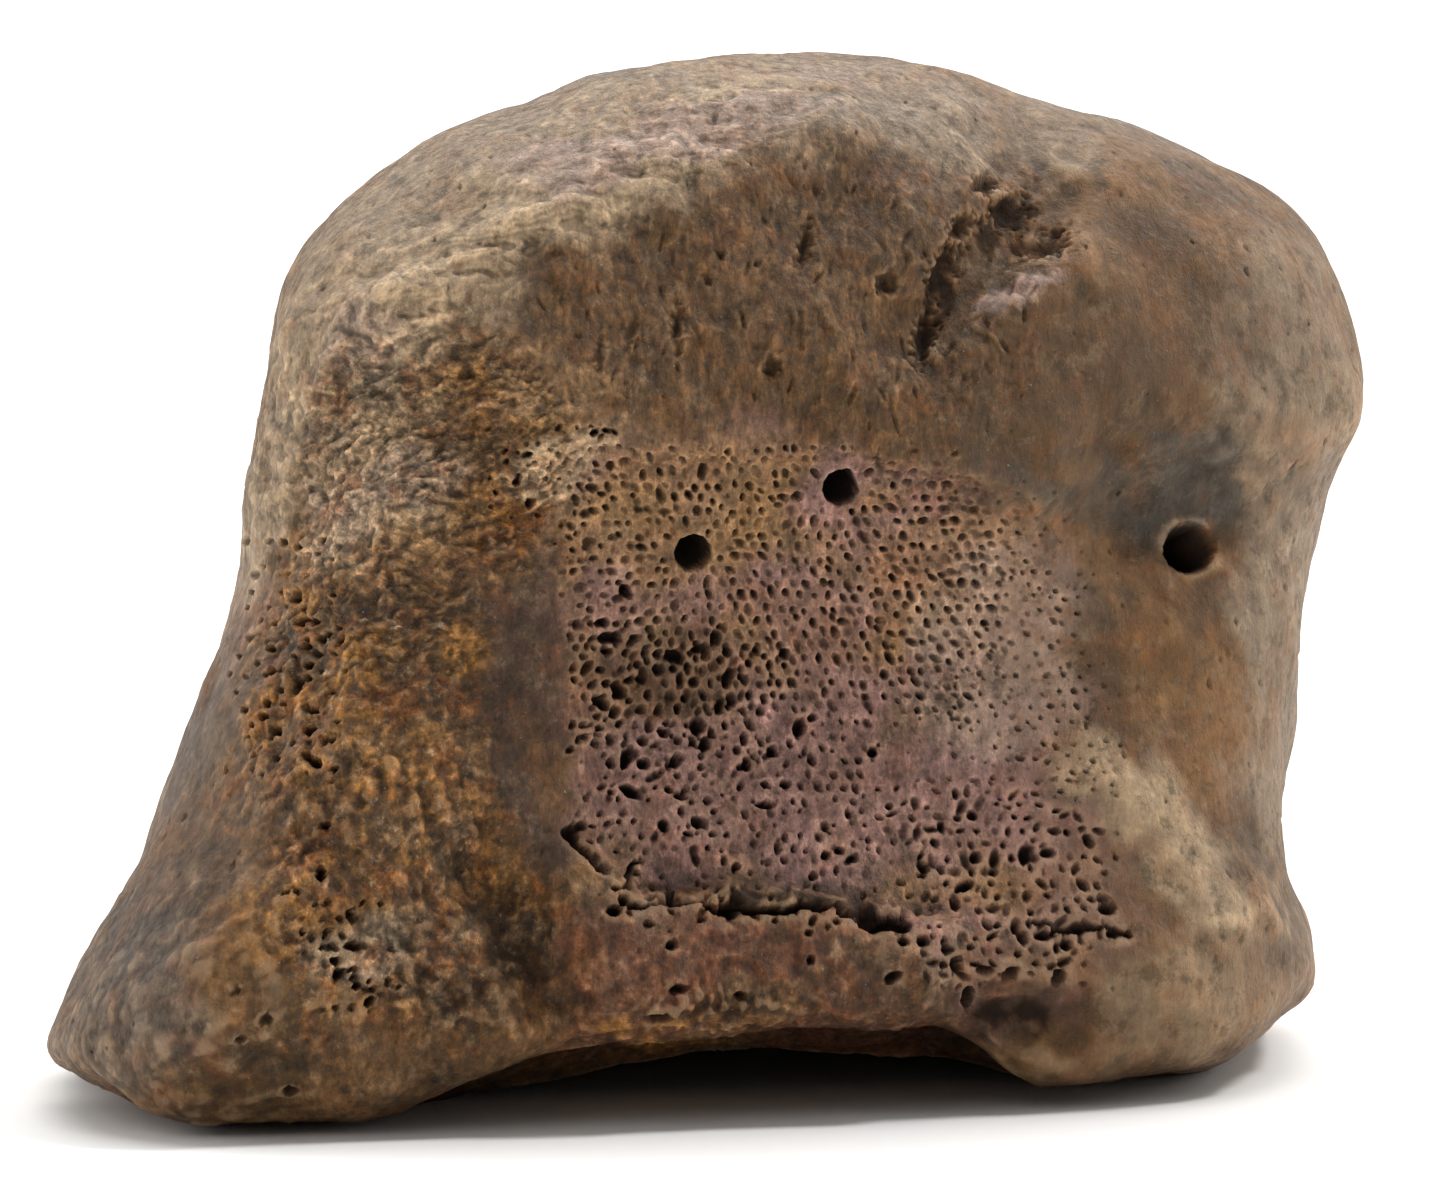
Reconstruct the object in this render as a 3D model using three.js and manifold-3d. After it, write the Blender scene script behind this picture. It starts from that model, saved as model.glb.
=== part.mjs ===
// A short, broad dinosaur toe bone (a foot phalanx), fossilised. It stands on its hollowed near joint,
// with the rounded far joint on top. Millimetres, +Z up the toe, +X across it. The sole of the toe
// faces -Y, and the origin is the middle of what it stands on.
import * as THREE from "three";
import { mergeVertices } from "three/addons/utils/BufferGeometryUtils.js";
import Module from "manifold-3d";

const wasm = await Module();
wasm.setup();

// ---- Driving dimensions ----

const HEIGHT = 29.6; // from the near joint's rim to the top of the far joint, before wear
const CORE = { x: 0.8, z: 14 }; // the point that every part of the surface can be seen from
const SKEW = 0.26; // how far back the body lies for each millimetre to the right: it is twisted
const SPLITS = 17; // how finely the starting ball is divided: 20 * (SPLITS + 1)^2 triangles
const SQUARENESS = { foot: 3.2, joint: 2.3 }; // 2 would be an ellipse
const RIM_ROUNDING = 1.3; // how softly the sides turn under into the near joint
const WEAR = 0.6; // what is worn off the rim, flat, where the bone stands

// The outline of the sole side, as x and z, anticlockwise from the left foot. Below z = 0 it only
// steers the curve, because the near joint cuts it off.
const OUTLINE = [
  [-18.8, 1.9],
  [-17.0, 5.4],
  [-15.7, 8.1],
  [-14.4, 11.6],
  [-13.4, 15.0],
  [-13.0, 18.1],
  [-12.5, 21.4],
  [-11.5, 24.3],
  [-8.9, 26.6],
  [-5.2, 28.4],
  [-1.0, 29.5],
  [2.6, HEIGHT],
  [6.3, 29.2],
  [9.9, 28.3],
  [14.1, 26.7],
  [17.5, 24.6],
  [19.0, 21.9],
  [19.4, 19.3],
  [18.4, 17.0],
  [17.9, 14.8],
  [17.4, 11.8],
  [17.1, 8.2],
  [17.0, 5.6],
  [17.7, 3.6],
  [17.8, -0.8],
  [12.0, -4.6],
  [0.0, -5.8],
  [-13.0, -4.6],
  [-18.5, -0.6],
];

// How deep the bone is: the height, then in front of and behind its middle plane.
const DEPTHS = [
  [-2, 13.2, 12.4],
  [3, 13.0, 12.4],
  [8, 11.6, 10.4],
  [13, 10.7, 8.8],
  [19, 10.8, 9.0],
  [25, 11.2, 9.8],
  [31, 11.4, 10.2],
];

// The sole is laid out as it shows from in front: millimetres across, and up from the lowest point,
// from an eye this far off that looks down by this much.
const EYE_DISTANCE = 280;
const EYE_TILT = THREE.MathUtils.degToRad(5);
const EYE_TARGET = new THREE.Vector3(0.3, 0, 14);
const TARGET_SHOWS_AT = 15.3;

// Lines and places on the sole, laid out in that way.
const JOINT_CREST = [[-13.3, 18.6], [-11.0, 22.7], [-7.5, 24.1], [-2.6, 26.7], [0.4, 27.6], [3.6, 28.8]];
const JOINT_MARGIN = [[-6.6, 18.6], [-3.4, 19.9], [-0.8, 19.5], [4.4, 19.4], [8.5, 18.6], [11.6, 17.4]];
const JOINT_GROOVE = [[8.8, 30.2], [9.8, 27.0], [8.0, 24.6], [6.2, 22.4]];
const GROOVE_LIP = [[10.6, 24.9], [8.4, 23.4], [6.0, 21.6]];
const BROKEN_EDGE = [[-3.9, 18.0], [-3.7, 12.6], [-3.9, 7.4]];
const LEDGE = [[-3.9, 8.7], [-3.1, 7.2], [-2.0, 6.2], [-0.2, 6.5], [2.7, 6.2], [5.6, 5.8], [8.6, 5.4]];
const LEFT_RIDGE = [[-14.4, 2.6], [-11.4, 7.4], [-9.0, 12.6], [-8.4, 17.4]];
const RIGHT_RIDGE = [[11.4, 10.2], [13.4, 8.2], [15.4, 6.2]];
const HEEL_GULLY = [[-6.8, 7.4], [-5.4, 5.6], [-4.4, 3.4]];
const FOSSA = { at: [3.2, 12.6], size: [14.5, 11.0], depth: 2.0 };
const SIDE_PIT = { at: [13.8, 17.6], size: [4.8, 4.2], depth: 1.8 };
const HEEL_HOLLOW = { at: [9.2, 2.9], size: [3.2, 1.6], depth: 1.0 };

// The holes where blood vessels went in, on the sole.
const VESSEL_HOLES = [
  { at: [-0.4, 16.4], radius: 0.48, depth: 3 },
  { at: [3.9, 18.3], radius: 0.46, depth: 3 },
  { at: [14.0, 16.6], radius: 0.65, depth: 2.6 },
  { at: [-2.35, 15.3], radius: 0.2, depth: 1.2 },
];

// The same on the upper side of the toe, by x and z.
const BACK_HOLES = [
  { at: [-3.2, 13.6], radius: 0.45, depth: 2.4 },
  { at: [6.4, 16.2], radius: 0.4, depth: 2.2 },
];

// The biggest of the pits in the spongy bone that the broken sole lays open.
const SPONGE_PITS = [
  [-2.3, 10.6],
  [-2.2, 9.5],
  [-1.3, 8.5],
  [-0.2, 8.7],
  [-0.3, 11.4],
  [-1.3, 11.3],
  [-1.9, 10.4],
  [1.2, 10.4],
  [1.9, 10.7],
  [4.8, 10.7],
  [-3.5, 11.0],
  [1.7, 9.2],
  [-0.9, 13.4],
  [-2.6, 12.5],
  [0.2, 12.3],
  [2.9, 12.0],
  [1.4, 13.6],
  [3.3, 9.0],
  [6.0, 9.4],
  [7.6, 7.8],
  [9.3, 6.6],
  [7.8, 4.4],
  [9.8, 4.7],
  [11.0, 5.8],
];
const PIT_RADIUS = 0.24;
const PIT_DEPTH = 0.9;

// ---- Small helpers ----

const clamp01 = (t) => Math.min(1, Math.max(0, t));
const smooth = (t) => clamp01(t) ** 2 * (3 - 2 * clamp01(t));

// The larger of a and b, with the corner between them rounded over a width of k.
const roundedMax = (a, b, k) => {
  const h = Math.max(k - Math.abs(a - b), 0) / k;
  return Math.max(a, b) + (h * h * k) / 4;
};

// A smooth line through [key, value...] rows, read at t for one column.
const along = (rows, t, column) => {
  const last = rows.length - 1;
  if (t <= rows[0][0]) return rows[0][column];
  if (t >= rows[last][0]) return rows[last][column];
  const i = rows.findIndex((row) => row[0] > t) - 1;
  const part = (t - rows[i][0]) / (rows[i + 1][0] - rows[i][0]);
  return THREE.MathUtils.lerp(rows[i][column], rows[i + 1][column], smooth(part));
};

// ---- The body ----

// The outline as a radius for each direction round the core.
const bearings = OUTLINE.map(([x, z]) => ({
  angle: Math.atan2(z - CORE.z, x - CORE.x),
  radius: Math.hypot(x - CORE.x, z - CORE.z),
})).sort((a, b) => a.angle - b.angle);

const bearing = (i) => {
  const n = bearings.length;
  const { angle, radius } = bearings[((i % n) + n) % n];
  return { angle: angle + 2 * Math.PI * Math.floor(i / n), radius };
};

// The outline's radius at any angle, by cubic curves between its points.
const outlineRadius = (angle) => {
  const above = bearings.findIndex((b) => b.angle > angle);
  const i = above < 0 ? bearings.length : above;
  const [p0, p1, p2, p3] = [i - 2, i - 1, i, i + 1].map(bearing);
  const span = p2.angle - p1.angle;
  const t = (angle - p1.angle) / span;
  const slope1 = ((p2.radius - p0.radius) / (p2.angle - p0.angle)) * span;
  const slope2 = ((p3.radius - p1.radius) / (p3.angle - p1.angle)) * span;
  return (
    (2 * t ** 3 - 3 * t ** 2 + 1) * p1.radius +
    (t ** 3 - 2 * t ** 2 + t) * slope1 +
    (3 * t ** 2 - 2 * t ** 3) * p2.radius +
    (t ** 3 - t ** 2) * slope2
  );
};

// How high the near joint lies over the ground: hollow in the middle, arched through the rim in
// front, and turned up at both ends.
const baseHeight = (x, y) => {
  const middle = y - SKEW * x;
  const hollow = 3 * smooth(1.35 - Math.hypot((x - 1.8) / 11, (middle - 1.8) / 9.2));
  const front = smooth((-middle - 1.5) / 7);
  const arch = 3.1 * smooth((x + 14) / 13) * smooth((11 - x) / 5);
  const leftFoot = 0.7;
  const rightFoot = smooth((x - 4) / 6);
  const rim = front * roundedMax(Math.max(arch, leftFoot), rightFoot, 1.2);
  const ends = 1.3 * smooth((-14.5 - x) / 4) + 2.2 * smooth((x - 13.5) / 5);
  const rear = 0.5 * smooth((middle + 1) / 6);
  return Math.max(hollow, rim) + ends - rear - WEAR;
};

// Below 0 inside the bone and above 0 outside, in about millimetres.
const outside = (x, y, z) => {
  const radius = outlineRadius(Math.atan2(z - CORE.z, x - CORE.x));
  const q = Math.hypot(x - CORE.x, z - CORE.z) / radius;
  const middle = y - SKEW * x;
  const depth = along(DEPTHS, z, middle < 0 ? 1 : 2);
  const power = THREE.MathUtils.lerp(SQUARENESS.foot, SQUARENESS.joint, smooth((z - 4) / 18));
  const body = ((q ** power + Math.abs(middle / depth) ** power) ** (1 / power) - 1) * 11;
  return roundedMax(body, baseHeight(x, y) - z, RIM_ROUNDING);
};

// The distance from the core to the surface along a direction, by halving.
const reach = (direction) => {
  let [near, far] = [0, 40];
  for (let step = 0; step < 30; step++) {
    const mid = (near + far) / 2;
    const hit = outside(CORE.x + direction.x * mid, direction.y * mid, CORE.z + direction.z * mid);
    if (hit > 0) far = mid;
    else near = mid;
  }
  return near;
};

// ---- The eye in front of the sole ----

const forward = new THREE.Vector3(0, Math.cos(EYE_TILT), -Math.sin(EYE_TILT));
const upward = new THREE.Vector3(0, Math.sin(EYE_TILT), Math.cos(EYE_TILT));
const eye = EYE_TARGET.clone().addScaledVector(forward, -EYE_DISTANCE);

// Where a point shows on the sole.
const seen = (p) => {
  const ray = p.clone().sub(eye);
  const scale = EYE_DISTANCE / ray.dot(forward);
  return new THREE.Vector2(ray.x * scale + EYE_TARGET.x, ray.dot(upward) * scale + TARGET_SHOWS_AT);
};

// The way from the eye to what shows at a place on the sole.
const sightLine = ([x, y]) =>
  forward
    .clone()
    .multiplyScalar(EYE_DISTANCE)
    .addScaledVector(upward, y - TARGET_SHOWS_AT)
    .add(new THREE.Vector3(x - EYE_TARGET.x, 0, 0))
    .normalize();

// ---- What is raised and sunk on the body ----

// 1 in the middle of an oval and 0 past its edge.
const oval = (p, { at, size }) => smooth(1 - Math.hypot((p.x - at[0]) / size[0], (p.y - at[1]) / size[1]));

// The distance from p to a line of points, above 0 on its left side and below 0 on its right.
const fromLine = (p, points) => {
  let best = Infinity;
  for (let i = 0; i + 1 < points.length; i++) {
    const a = new THREE.Vector2(...points[i]);
    const run = new THREE.Vector2(...points[i + 1]).sub(a);
    const toPoint = p.clone().sub(a);
    const t = clamp01(toPoint.dot(run) / run.lengthSq());
    const distance = toPoint.distanceTo(run.clone().multiplyScalar(t));
    if (distance < Math.abs(best)) best = distance * (run.cross(toPoint) < 0 ? -1 : 1);
  }
  return best;
};

// 1 along a line, falling off on both sides.
const ridge = (p, points, width) => Math.exp(-((fromLine(p, points) / width) ** 2));

// How far p lies past the end of a line, along the line's last stretch.
const pastEnd = (p, before, end) => {
  const last = new THREE.Vector2(...end);
  const run = last.clone().sub(new THREE.Vector2(...before)).normalize();
  return p.clone().sub(last).dot(run);
};

// A step along a line: full just to one side of it (1 left, -1 right), and gone after its width and
// at the line's ends.
const step = (p, points, side, width) => {
  const distance = fromLine(p, points) * side;
  const across = distance < 0 ? smooth(1 + distance / 0.8) : smooth(1 - distance / width);
  const beyond = Math.max(pastEnd(p, points[1], points[0]), pastEnd(p, points.at(-2), points.at(-1)));
  return across * smooth(-beyond / 2);
};

const soleRelief = (s) =>
  -FOSSA.depth * oval(s, FOSSA) +
  0.6 * ridge(s, JOINT_CREST, 1.3) +
  0.6 * step(s, JOINT_MARGIN, 1, 5) -
  0.9 * ridge(s, JOINT_GROOVE, 1.4) +
  0.5 * ridge(s, GROOVE_LIP, 0.9) +
  0.4 * step(s, BROKEN_EDGE, -1, 4) +
  0.7 * step(s, LEDGE, -1, 4) +
  0.8 * ridge(s, LEFT_RIDGE, 2.4) +
  0.7 * ridge(s, RIGHT_RIDGE, 1.3) -
  0.7 * ridge(s, HEEL_GULLY, 1.1) -
  SIDE_PIT.depth * oval(s, SIDE_PIT) -
  HEEL_HOLLOW.depth * oval(s, HEEL_HOLLOW);

// The upper side of the toe, by x and z.
const TOP_MARGIN = [[-11, 20.4], [-4, 22.6], [3, 22.9], [9, 22.4], [15, 20.6]];
const TOP_GROOVE = [[7, 30], [5.4, 24.4]];
const TOP_FOSSA = { at: [2, 14.5], size: [15, 9], depth: 1.6 };
const LIGAMENT_PIT = { at: [0.5, 20], size: [5.2, 4.6], depth: 1.8 };

const backRelief = (b) =>
  0.5 * step(b, TOP_MARGIN, 1, 5) - TOP_FOSSA.depth * oval(b, TOP_FOSSA) - 0.6 * ridge(b, TOP_GROOVE, 2);

// Soft unevenness all over, as three crossing swells.
const swell = ({ x, y, z }) =>
  0.12 * Math.sin(0.62 * x + 0.35 * z + 1) * Math.sin(0.51 * y + 0.44 * z) +
  0.07 * Math.sin(1.25 * x - 0.55 * y) * Math.sin(1.05 * z + 0.62 * y + 2) +
  0.04 * Math.sin(2.1 * x + 1.3 * z) * Math.sin(1.9 * y - 1.1 * x + 0.7);

const relief = (p, normal) => {
  const facingSole = smooth((-normal.y - 0.05) / 0.4);
  const facingBack = smooth((normal.y - 0.05) / 0.4);
  const facingLeft = smooth((-normal.x - 0.3) / 0.4);
  return (
    swell(p) +
    facingSole * soleRelief(seen(p)) +
    facingBack * backRelief(new THREE.Vector2(p.x, p.z)) -
    facingLeft * LIGAMENT_PIT.depth * oval(new THREE.Vector2(p.y, p.z), LIGAMENT_PIT)
  );
};

const boneBody = () => {
  const ball = new THREE.IcosahedronGeometry(1, SPLITS);
  ball.deleteAttribute("normal");
  ball.deleteAttribute("uv");
  const skin = mergeVertices(ball, 1e-4);
  const position = skin.attributes.position;
  const point = new THREE.Vector3();
  const normal = new THREE.Vector3();
  for (let i = 0; i < position.count; i++) {
    point.fromBufferAttribute(position, i).normalize();
    const length = reach(point);
    position.setXYZ(i, CORE.x + point.x * length, point.y * length, CORE.z + point.z * length);
  }
  skin.computeVertexNormals();
  for (let i = 0; i < position.count; i++) {
    point.fromBufferAttribute(position, i);
    normal.fromBufferAttribute(skin.attributes.normal, i);
    point.addScaledVector(normal, relief(point, normal));
    position.setXYZ(i, point.x, point.y, Math.max(point.z, 0));
  }
  skin.computeVertexNormals();
  return skin;
};

// ---- Holes, pits and the crack ----

const solidOf = (geometry) => {
  const bare = geometry.clone();
  bare.deleteAttribute("normal");
  bare.deleteAttribute("uv");
  const merged = mergeVertices(bare, 1e-4);
  return new wasm.Manifold(
    new wasm.Mesh({
      numProp: 3,
      vertProperties: new Float32Array(merged.attributes.position.array),
      triVerts: new Uint32Array(merged.index.array),
    }),
  );
};

const geometryOf = (solid) => {
  const mesh = solid.getMesh();
  return new THREE.BufferGeometry()
    .setAttribute("position", new THREE.BufferAttribute(mesh.vertProperties, 3))
    .setIndex(new THREE.BufferAttribute(mesh.triVerts, 1));
};

// What a line of sight meets first on the skin: the point, and the way the skin faces there.
const meet = (skin, from, direction) => {
  const [hit] = new THREE.Raycaster(from, direction).intersectObject(new THREE.Mesh(skin));
  return { point: hit.point, normal: hit.face.normal.clone() };
};
const onSole = (skin, at) => meet(skin, eye, sightLine(at));
const onBack = (skin, [x, z]) => meet(skin, new THREE.Vector3(x, 60, z), new THREE.Vector3(0, -1, 0));

const UP = new THREE.Vector3(0, 1, 0);

// A tapering plug that stands in the skin, to be cut out of it.
const plug = ({ point, normal }, radius, depth, sides) => {
  const cover = 0.6;
  const cone = new THREE.CylinderGeometry(radius * 1.2, radius * 0.6, depth + cover, sides);
  cone.translate(0, cover - (depth + cover) / 2, 0);
  cone.applyQuaternion(new THREE.Quaternion().setFromUnitVectors(UP, normal));
  return solidOf(cone.translate(point.x, point.y, point.z));
};

// A flat lens that stands on edge in the skin between two spots of it, to be cut out as a crack.
const crackLens = (a, b, width, depth) => {
  const along = b.point.clone().sub(a.point);
  const length = along.length();
  const outward = a.normal.clone().add(b.normal).normalize();
  const across = new THREE.Vector3().crossVectors(along, outward).normalize();
  const into = new THREE.Vector3().crossVectors(across, along).normalize();
  const lens = new THREE.SphereGeometry(1, 8, 6).scale(length * 0.62, depth, width);
  lens.applyMatrix4(new THREE.Matrix4().makeBasis(along.normalize(), into, across));
  const middle = a.point.clone().add(b.point).multiplyScalar(0.5);
  return solidOf(lens.translate(middle.x, middle.y, middle.z));
};

const carved = (skin) => {
  const cuts = [
    ...VESSEL_HOLES.map((hole) => plug(onSole(skin, hole.at), hole.radius, hole.depth, 12)),
    ...BACK_HOLES.map((hole) => plug(onBack(skin, hole.at), hole.radius, hole.depth, 12)),
    ...SPONGE_PITS.map((at, i) => plug(onSole(skin, at), PIT_RADIUS * (0.85 + 0.15 * (i % 3)), PIT_DEPTH, 6)),
  ];
  const spots = LEDGE.map((at) => onSole(skin, at));
  for (let i = 0; i + 1 < spots.length; i++) {
    cuts.push(crackLens(spots[i], spots[i + 1], 0.22, 0.9));
  }
  return geometryOf(cuts.reduce((solid, cut) => solid.subtract(cut), solidOf(skin)));
};

// ---- The bone ----

const bone = new THREE.Mesh(
  carved(boneBody()),
  new THREE.MeshStandardMaterial({ color: 0x7a6350, roughness: 0.8, metalness: 0 }),
);
bone.name = "toe_bone";

// The origin goes under the middle of the bone.
bone.geometry.computeBoundingBox();
const middle = bone.geometry.boundingBox.getCenter(new THREE.Vector3());
bone.position.set(-middle.x, -middle.y, 0);

const toeBone = new THREE.Group();
toeBone.add(bone);
export default toeBone;
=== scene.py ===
"""A fossil dinosaur toe bone, standing on the worn rim of its hollowed near joint.

The bone's body is the same shape as the solid in the frame, worked out again on a much finer skin.
Pits, pores, cracks and wrinkles are then pressed into that skin. Shapes are in millimetres until the
mesh is made, in the frame's own directions: Z up the toe, X across it, the sole facing -Y.
"""
import itertools
import math

import bmesh
import bpy
import numpy as np
from mathutils import Matrix, Vector


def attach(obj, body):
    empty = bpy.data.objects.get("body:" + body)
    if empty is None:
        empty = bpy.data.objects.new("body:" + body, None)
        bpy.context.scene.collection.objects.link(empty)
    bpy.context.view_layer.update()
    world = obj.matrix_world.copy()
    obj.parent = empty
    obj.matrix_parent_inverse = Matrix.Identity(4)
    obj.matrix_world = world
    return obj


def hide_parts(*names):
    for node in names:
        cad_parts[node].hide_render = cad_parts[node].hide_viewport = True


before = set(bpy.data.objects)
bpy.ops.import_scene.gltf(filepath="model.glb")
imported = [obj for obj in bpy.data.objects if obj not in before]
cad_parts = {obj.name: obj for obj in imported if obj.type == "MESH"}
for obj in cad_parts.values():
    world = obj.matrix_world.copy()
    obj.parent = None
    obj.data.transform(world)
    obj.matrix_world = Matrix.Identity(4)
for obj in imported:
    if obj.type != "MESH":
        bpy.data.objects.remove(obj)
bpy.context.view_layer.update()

MM = 0.001
rng = np.random.default_rng(66)

# ---- The body, as the solid has it ----

HEIGHT = 29.6
CORE = np.array([0.8, 0, 14])
SKEW = 0.26
SQUARENESS = {"foot": 3.2, "joint": 2.3}
RIM_ROUNDING = 1.3
WEAR = 0.6
MEAN_RADIUS = 11

OUTLINE = [
    (-18.8, 1.9), (-17.0, 5.4), (-15.7, 8.1), (-14.4, 11.6), (-13.4, 15.0), (-13.0, 18.1),
    (-12.5, 21.4), (-11.5, 24.3), (-8.9, 26.6), (-5.2, 28.4), (-1.0, 29.5), (2.6, HEIGHT),
    (6.3, 29.2), (9.9, 28.3), (14.1, 26.7), (17.5, 24.6), (19.0, 21.9), (19.4, 19.3),
    (18.4, 17.0), (17.9, 14.8), (17.4, 11.8), (17.1, 8.2), (17.0, 5.6), (17.7, 3.6),
    (17.8, -0.8), (12.0, -4.6), (0.0, -5.8), (-13.0, -4.6), (-18.5, -0.6),
]
DEPTHS = [
    (-2, 13.2, 12.4), (3, 13.0, 12.4), (8, 11.6, 10.4), (13, 10.7, 8.8),
    (19, 10.8, 9.0), (25, 11.2, 9.8), (31, 11.4, 10.2),
]

# The sole is laid out as it shows from in front: millimetres across, and up from the lowest point,
# from an eye this far off that looks down by this much.
EYE_DISTANCE = 280
EYE_TILT = math.radians(5)
EYE_TARGET = np.array([0.3, 0, 14])
TARGET_SHOWS_AT = 15.3

JOINT_CREST = [(-13.3, 18.6), (-11.0, 22.7), (-7.5, 24.1), (-2.6, 26.7), (0.4, 27.6), (3.6, 28.8)]
JOINT_MARGIN = [(-6.6, 18.6), (-3.4, 19.9), (-0.8, 19.5), (4.4, 19.4), (8.5, 18.6), (11.6, 17.4)]
JOINT_GROOVE = [(8.8, 30.2), (9.8, 27.0), (8.0, 24.6), (6.2, 22.4)]
GROOVE_LIP = [(10.6, 24.9), (8.4, 23.4), (6.0, 21.6)]
BROKEN_EDGE = [(-3.9, 18.0), (-3.7, 12.6), (-3.9, 7.4)]
LEDGE = [(-3.9, 8.7), (-3.1, 7.2), (-2.0, 6.2), (-0.2, 6.5), (2.7, 6.2), (5.6, 5.8), (8.6, 5.4)]
LEFT_RIDGE = [(-14.4, 2.6), (-11.4, 7.4), (-9.0, 12.6), (-8.4, 17.4)]
RIGHT_RIDGE = [(11.4, 10.2), (13.4, 8.2), (15.4, 6.2)]
HEEL_GULLY = [(-6.8, 7.4), (-5.4, 5.6), (-4.4, 3.4)]
FOSSA = {"at": (3.2, 12.6), "size": (14.5, 11.0), "depth": 2.0}
SIDE_PIT = {"at": (13.8, 17.6), "size": (4.8, 4.2), "depth": 1.8}
HEEL_HOLLOW = {"at": (9.2, 2.9), "size": (3.2, 1.6), "depth": 1.0}

# The upper side of the toe, by x and z, and the left side's pit, by y and z.
TOP_MARGIN = [(-11, 20.4), (-4, 22.6), (3, 22.9), (9, 22.4), (15, 20.6)]
TOP_GROOVE = [(7, 30), (5.4, 24.4)]
TOP_FOSSA = {"at": (2, 14.5), "size": (15, 9), "depth": 1.6}
LIGAMENT_PIT = {"at": (0.5, 20), "size": (5.2, 4.6), "depth": 1.8}

# ---- Numbers on arrays ----


def smooth(t):
    t = np.clip(t, 0, 1)
    return t * t * (3 - 2 * t)


def rounded_max(a, b, k):
    """The larger of a and b, with the corner between them rounded over a width of k."""
    h = np.maximum(k - np.abs(a - b), 0) / k
    return np.maximum(a, b) + h * h * k / 4


def along(rows, t, column):
    """A smooth line through rows of (key, values...), read at t for one column."""
    keys = np.array([row[0] for row in rows], float)
    values = np.array([row[column] for row in rows], float)
    i = np.clip(np.searchsorted(keys, t, "right") - 1, 0, len(rows) - 2)
    part = smooth((t - keys[i]) / (keys[i + 1] - keys[i]))
    return values[i] + part * (values[i + 1] - values[i])


def oval(p, place, tilt=0.0):
    """1 in the middle of an oval and 0 past its edge."""
    x, y = (p - place["at"]).T
    across = x * math.cos(tilt) + y * math.sin(tilt)
    up = y * math.cos(tilt) - x * math.sin(tilt)
    return smooth(1 - np.hypot(across / place["size"][0], up / place["size"][1]))


def dip(p, place):
    """How deep a smooth oval hollow is at each p."""
    return place["depth"] * oval(p, place)


def from_line(p, points):
    """The distance of each p from a line of points, above 0 on its left and below 0 on its right."""
    best = np.full(len(p), np.inf)
    for a, b in zip(points, points[1:]):
        run = np.subtract(b, a)
        to = p - a
        t = np.clip(to @ run / (run @ run), 0, 1)
        gap = np.hypot(*(to - t[:, None] * run).T)
        side = np.where(run[0] * to[:, 1] - run[1] * to[:, 0] < 0, -1, 1)
        best = np.where(gap < abs(best), gap * side, best)
    return best


def ridge(p, points, width):
    return np.exp(-((from_line(p, points) / width) ** 2))


def step(p, points, side, width):
    """Full just to one side of a line (1 left, -1 right), and gone after its width and at both ends."""
    distance = from_line(p, points) * side
    beyond = np.maximum(past_end(p, points[1], points[0]), past_end(p, points[-2], points[-1]))
    beside = np.where(distance < 0, smooth(1 + distance / 0.8), smooth(1 - distance / width))
    return beside * smooth(-beyond / 2)


def past_end(p, before, end):
    """How far each p lies past the end of a line, along its last stretch."""
    run = np.subtract(end, before)
    return (p - end) @ run / math.hypot(*run)


def inside(p, corners, soft):
    """1 well inside a closed outline and 0 well outside it, over a soft edge of that width."""
    odd = np.zeros(len(p), bool)
    x, y = p.T
    closed = corners + corners[:1]
    for (x0, y0), (x1, y1) in zip(closed, closed[1:]):
        if y0 != y1:
            odd ^= ((y0 > y) != (y1 > y)) & (x < (x1 - x0) * (y - y0) / (y1 - y0) + x0)
    gap = abs(from_line(p, closed))
    return smooth(0.5 + np.where(odd, gap, -gap) / (2 * soft))


# The directions in which the noise slopes at the corners of its cells, and the order that they are
# taken in. The order is laid down twice, so that a step on from any place in it is still in it.
SLOPES = rng.normal(size=(256, 3))
SLOPES /= np.linalg.norm(SLOPES, axis=1, keepdims=True)
SLOPE_X, SLOPE_Y, SLOPE_Z = SLOPES.T.copy()
ORDER = np.tile(rng.permutation(256), 2)


def noise(p, size, seed=0):
    """Smooth random bumps from about -1 to 1, size millimetres across."""
    q = p.T / size + 31.7 * seed
    cell = np.floor(q)
    part = q - cell
    ease = part ** 3 * (part * (part * 6 - 15) + 10)
    cell = cell.astype(np.int64) & 255
    cells = (cell, cell + 1 & 255)
    parts = (part, part - 1)
    weights = (1 - ease, ease)
    total = np.zeros(len(p))
    for i, j, k in itertools.product((0, 1), repeat=3):
        at = ORDER[ORDER[ORDER[cells[i][0]] + cells[j][1]] + cells[k][2]]
        slope = parts[i][0] * SLOPE_X[at] + parts[j][1] * SLOPE_Y[at] + parts[k][2] * SLOPE_Z[at]
        total += weights[i][0] * weights[j][1] * weights[k][2] * slope
    return total * 1.6


def shifts(p, size, first_seed, axes):
    """Noise for each axis of a place, to move it by."""
    return np.stack([noise(p, size, first_seed + i) for i in range(axes)], 1)


def layered(p, size, layers, seed=0):
    """Noise with finer and weaker layers on top."""
    return sum(noise(p, size / 2 ** i, seed + i) / 2 ** i for i in range(layers))


def creased(p, size, layers, seed=0):
    """Noise with sharp creases: 0 at a crease, towards 1 between them."""
    return sum(np.abs(noise(p, size / 2 ** i, seed + i)) / 2 ** i for i in range(layers))


# ---- The body ----


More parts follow.
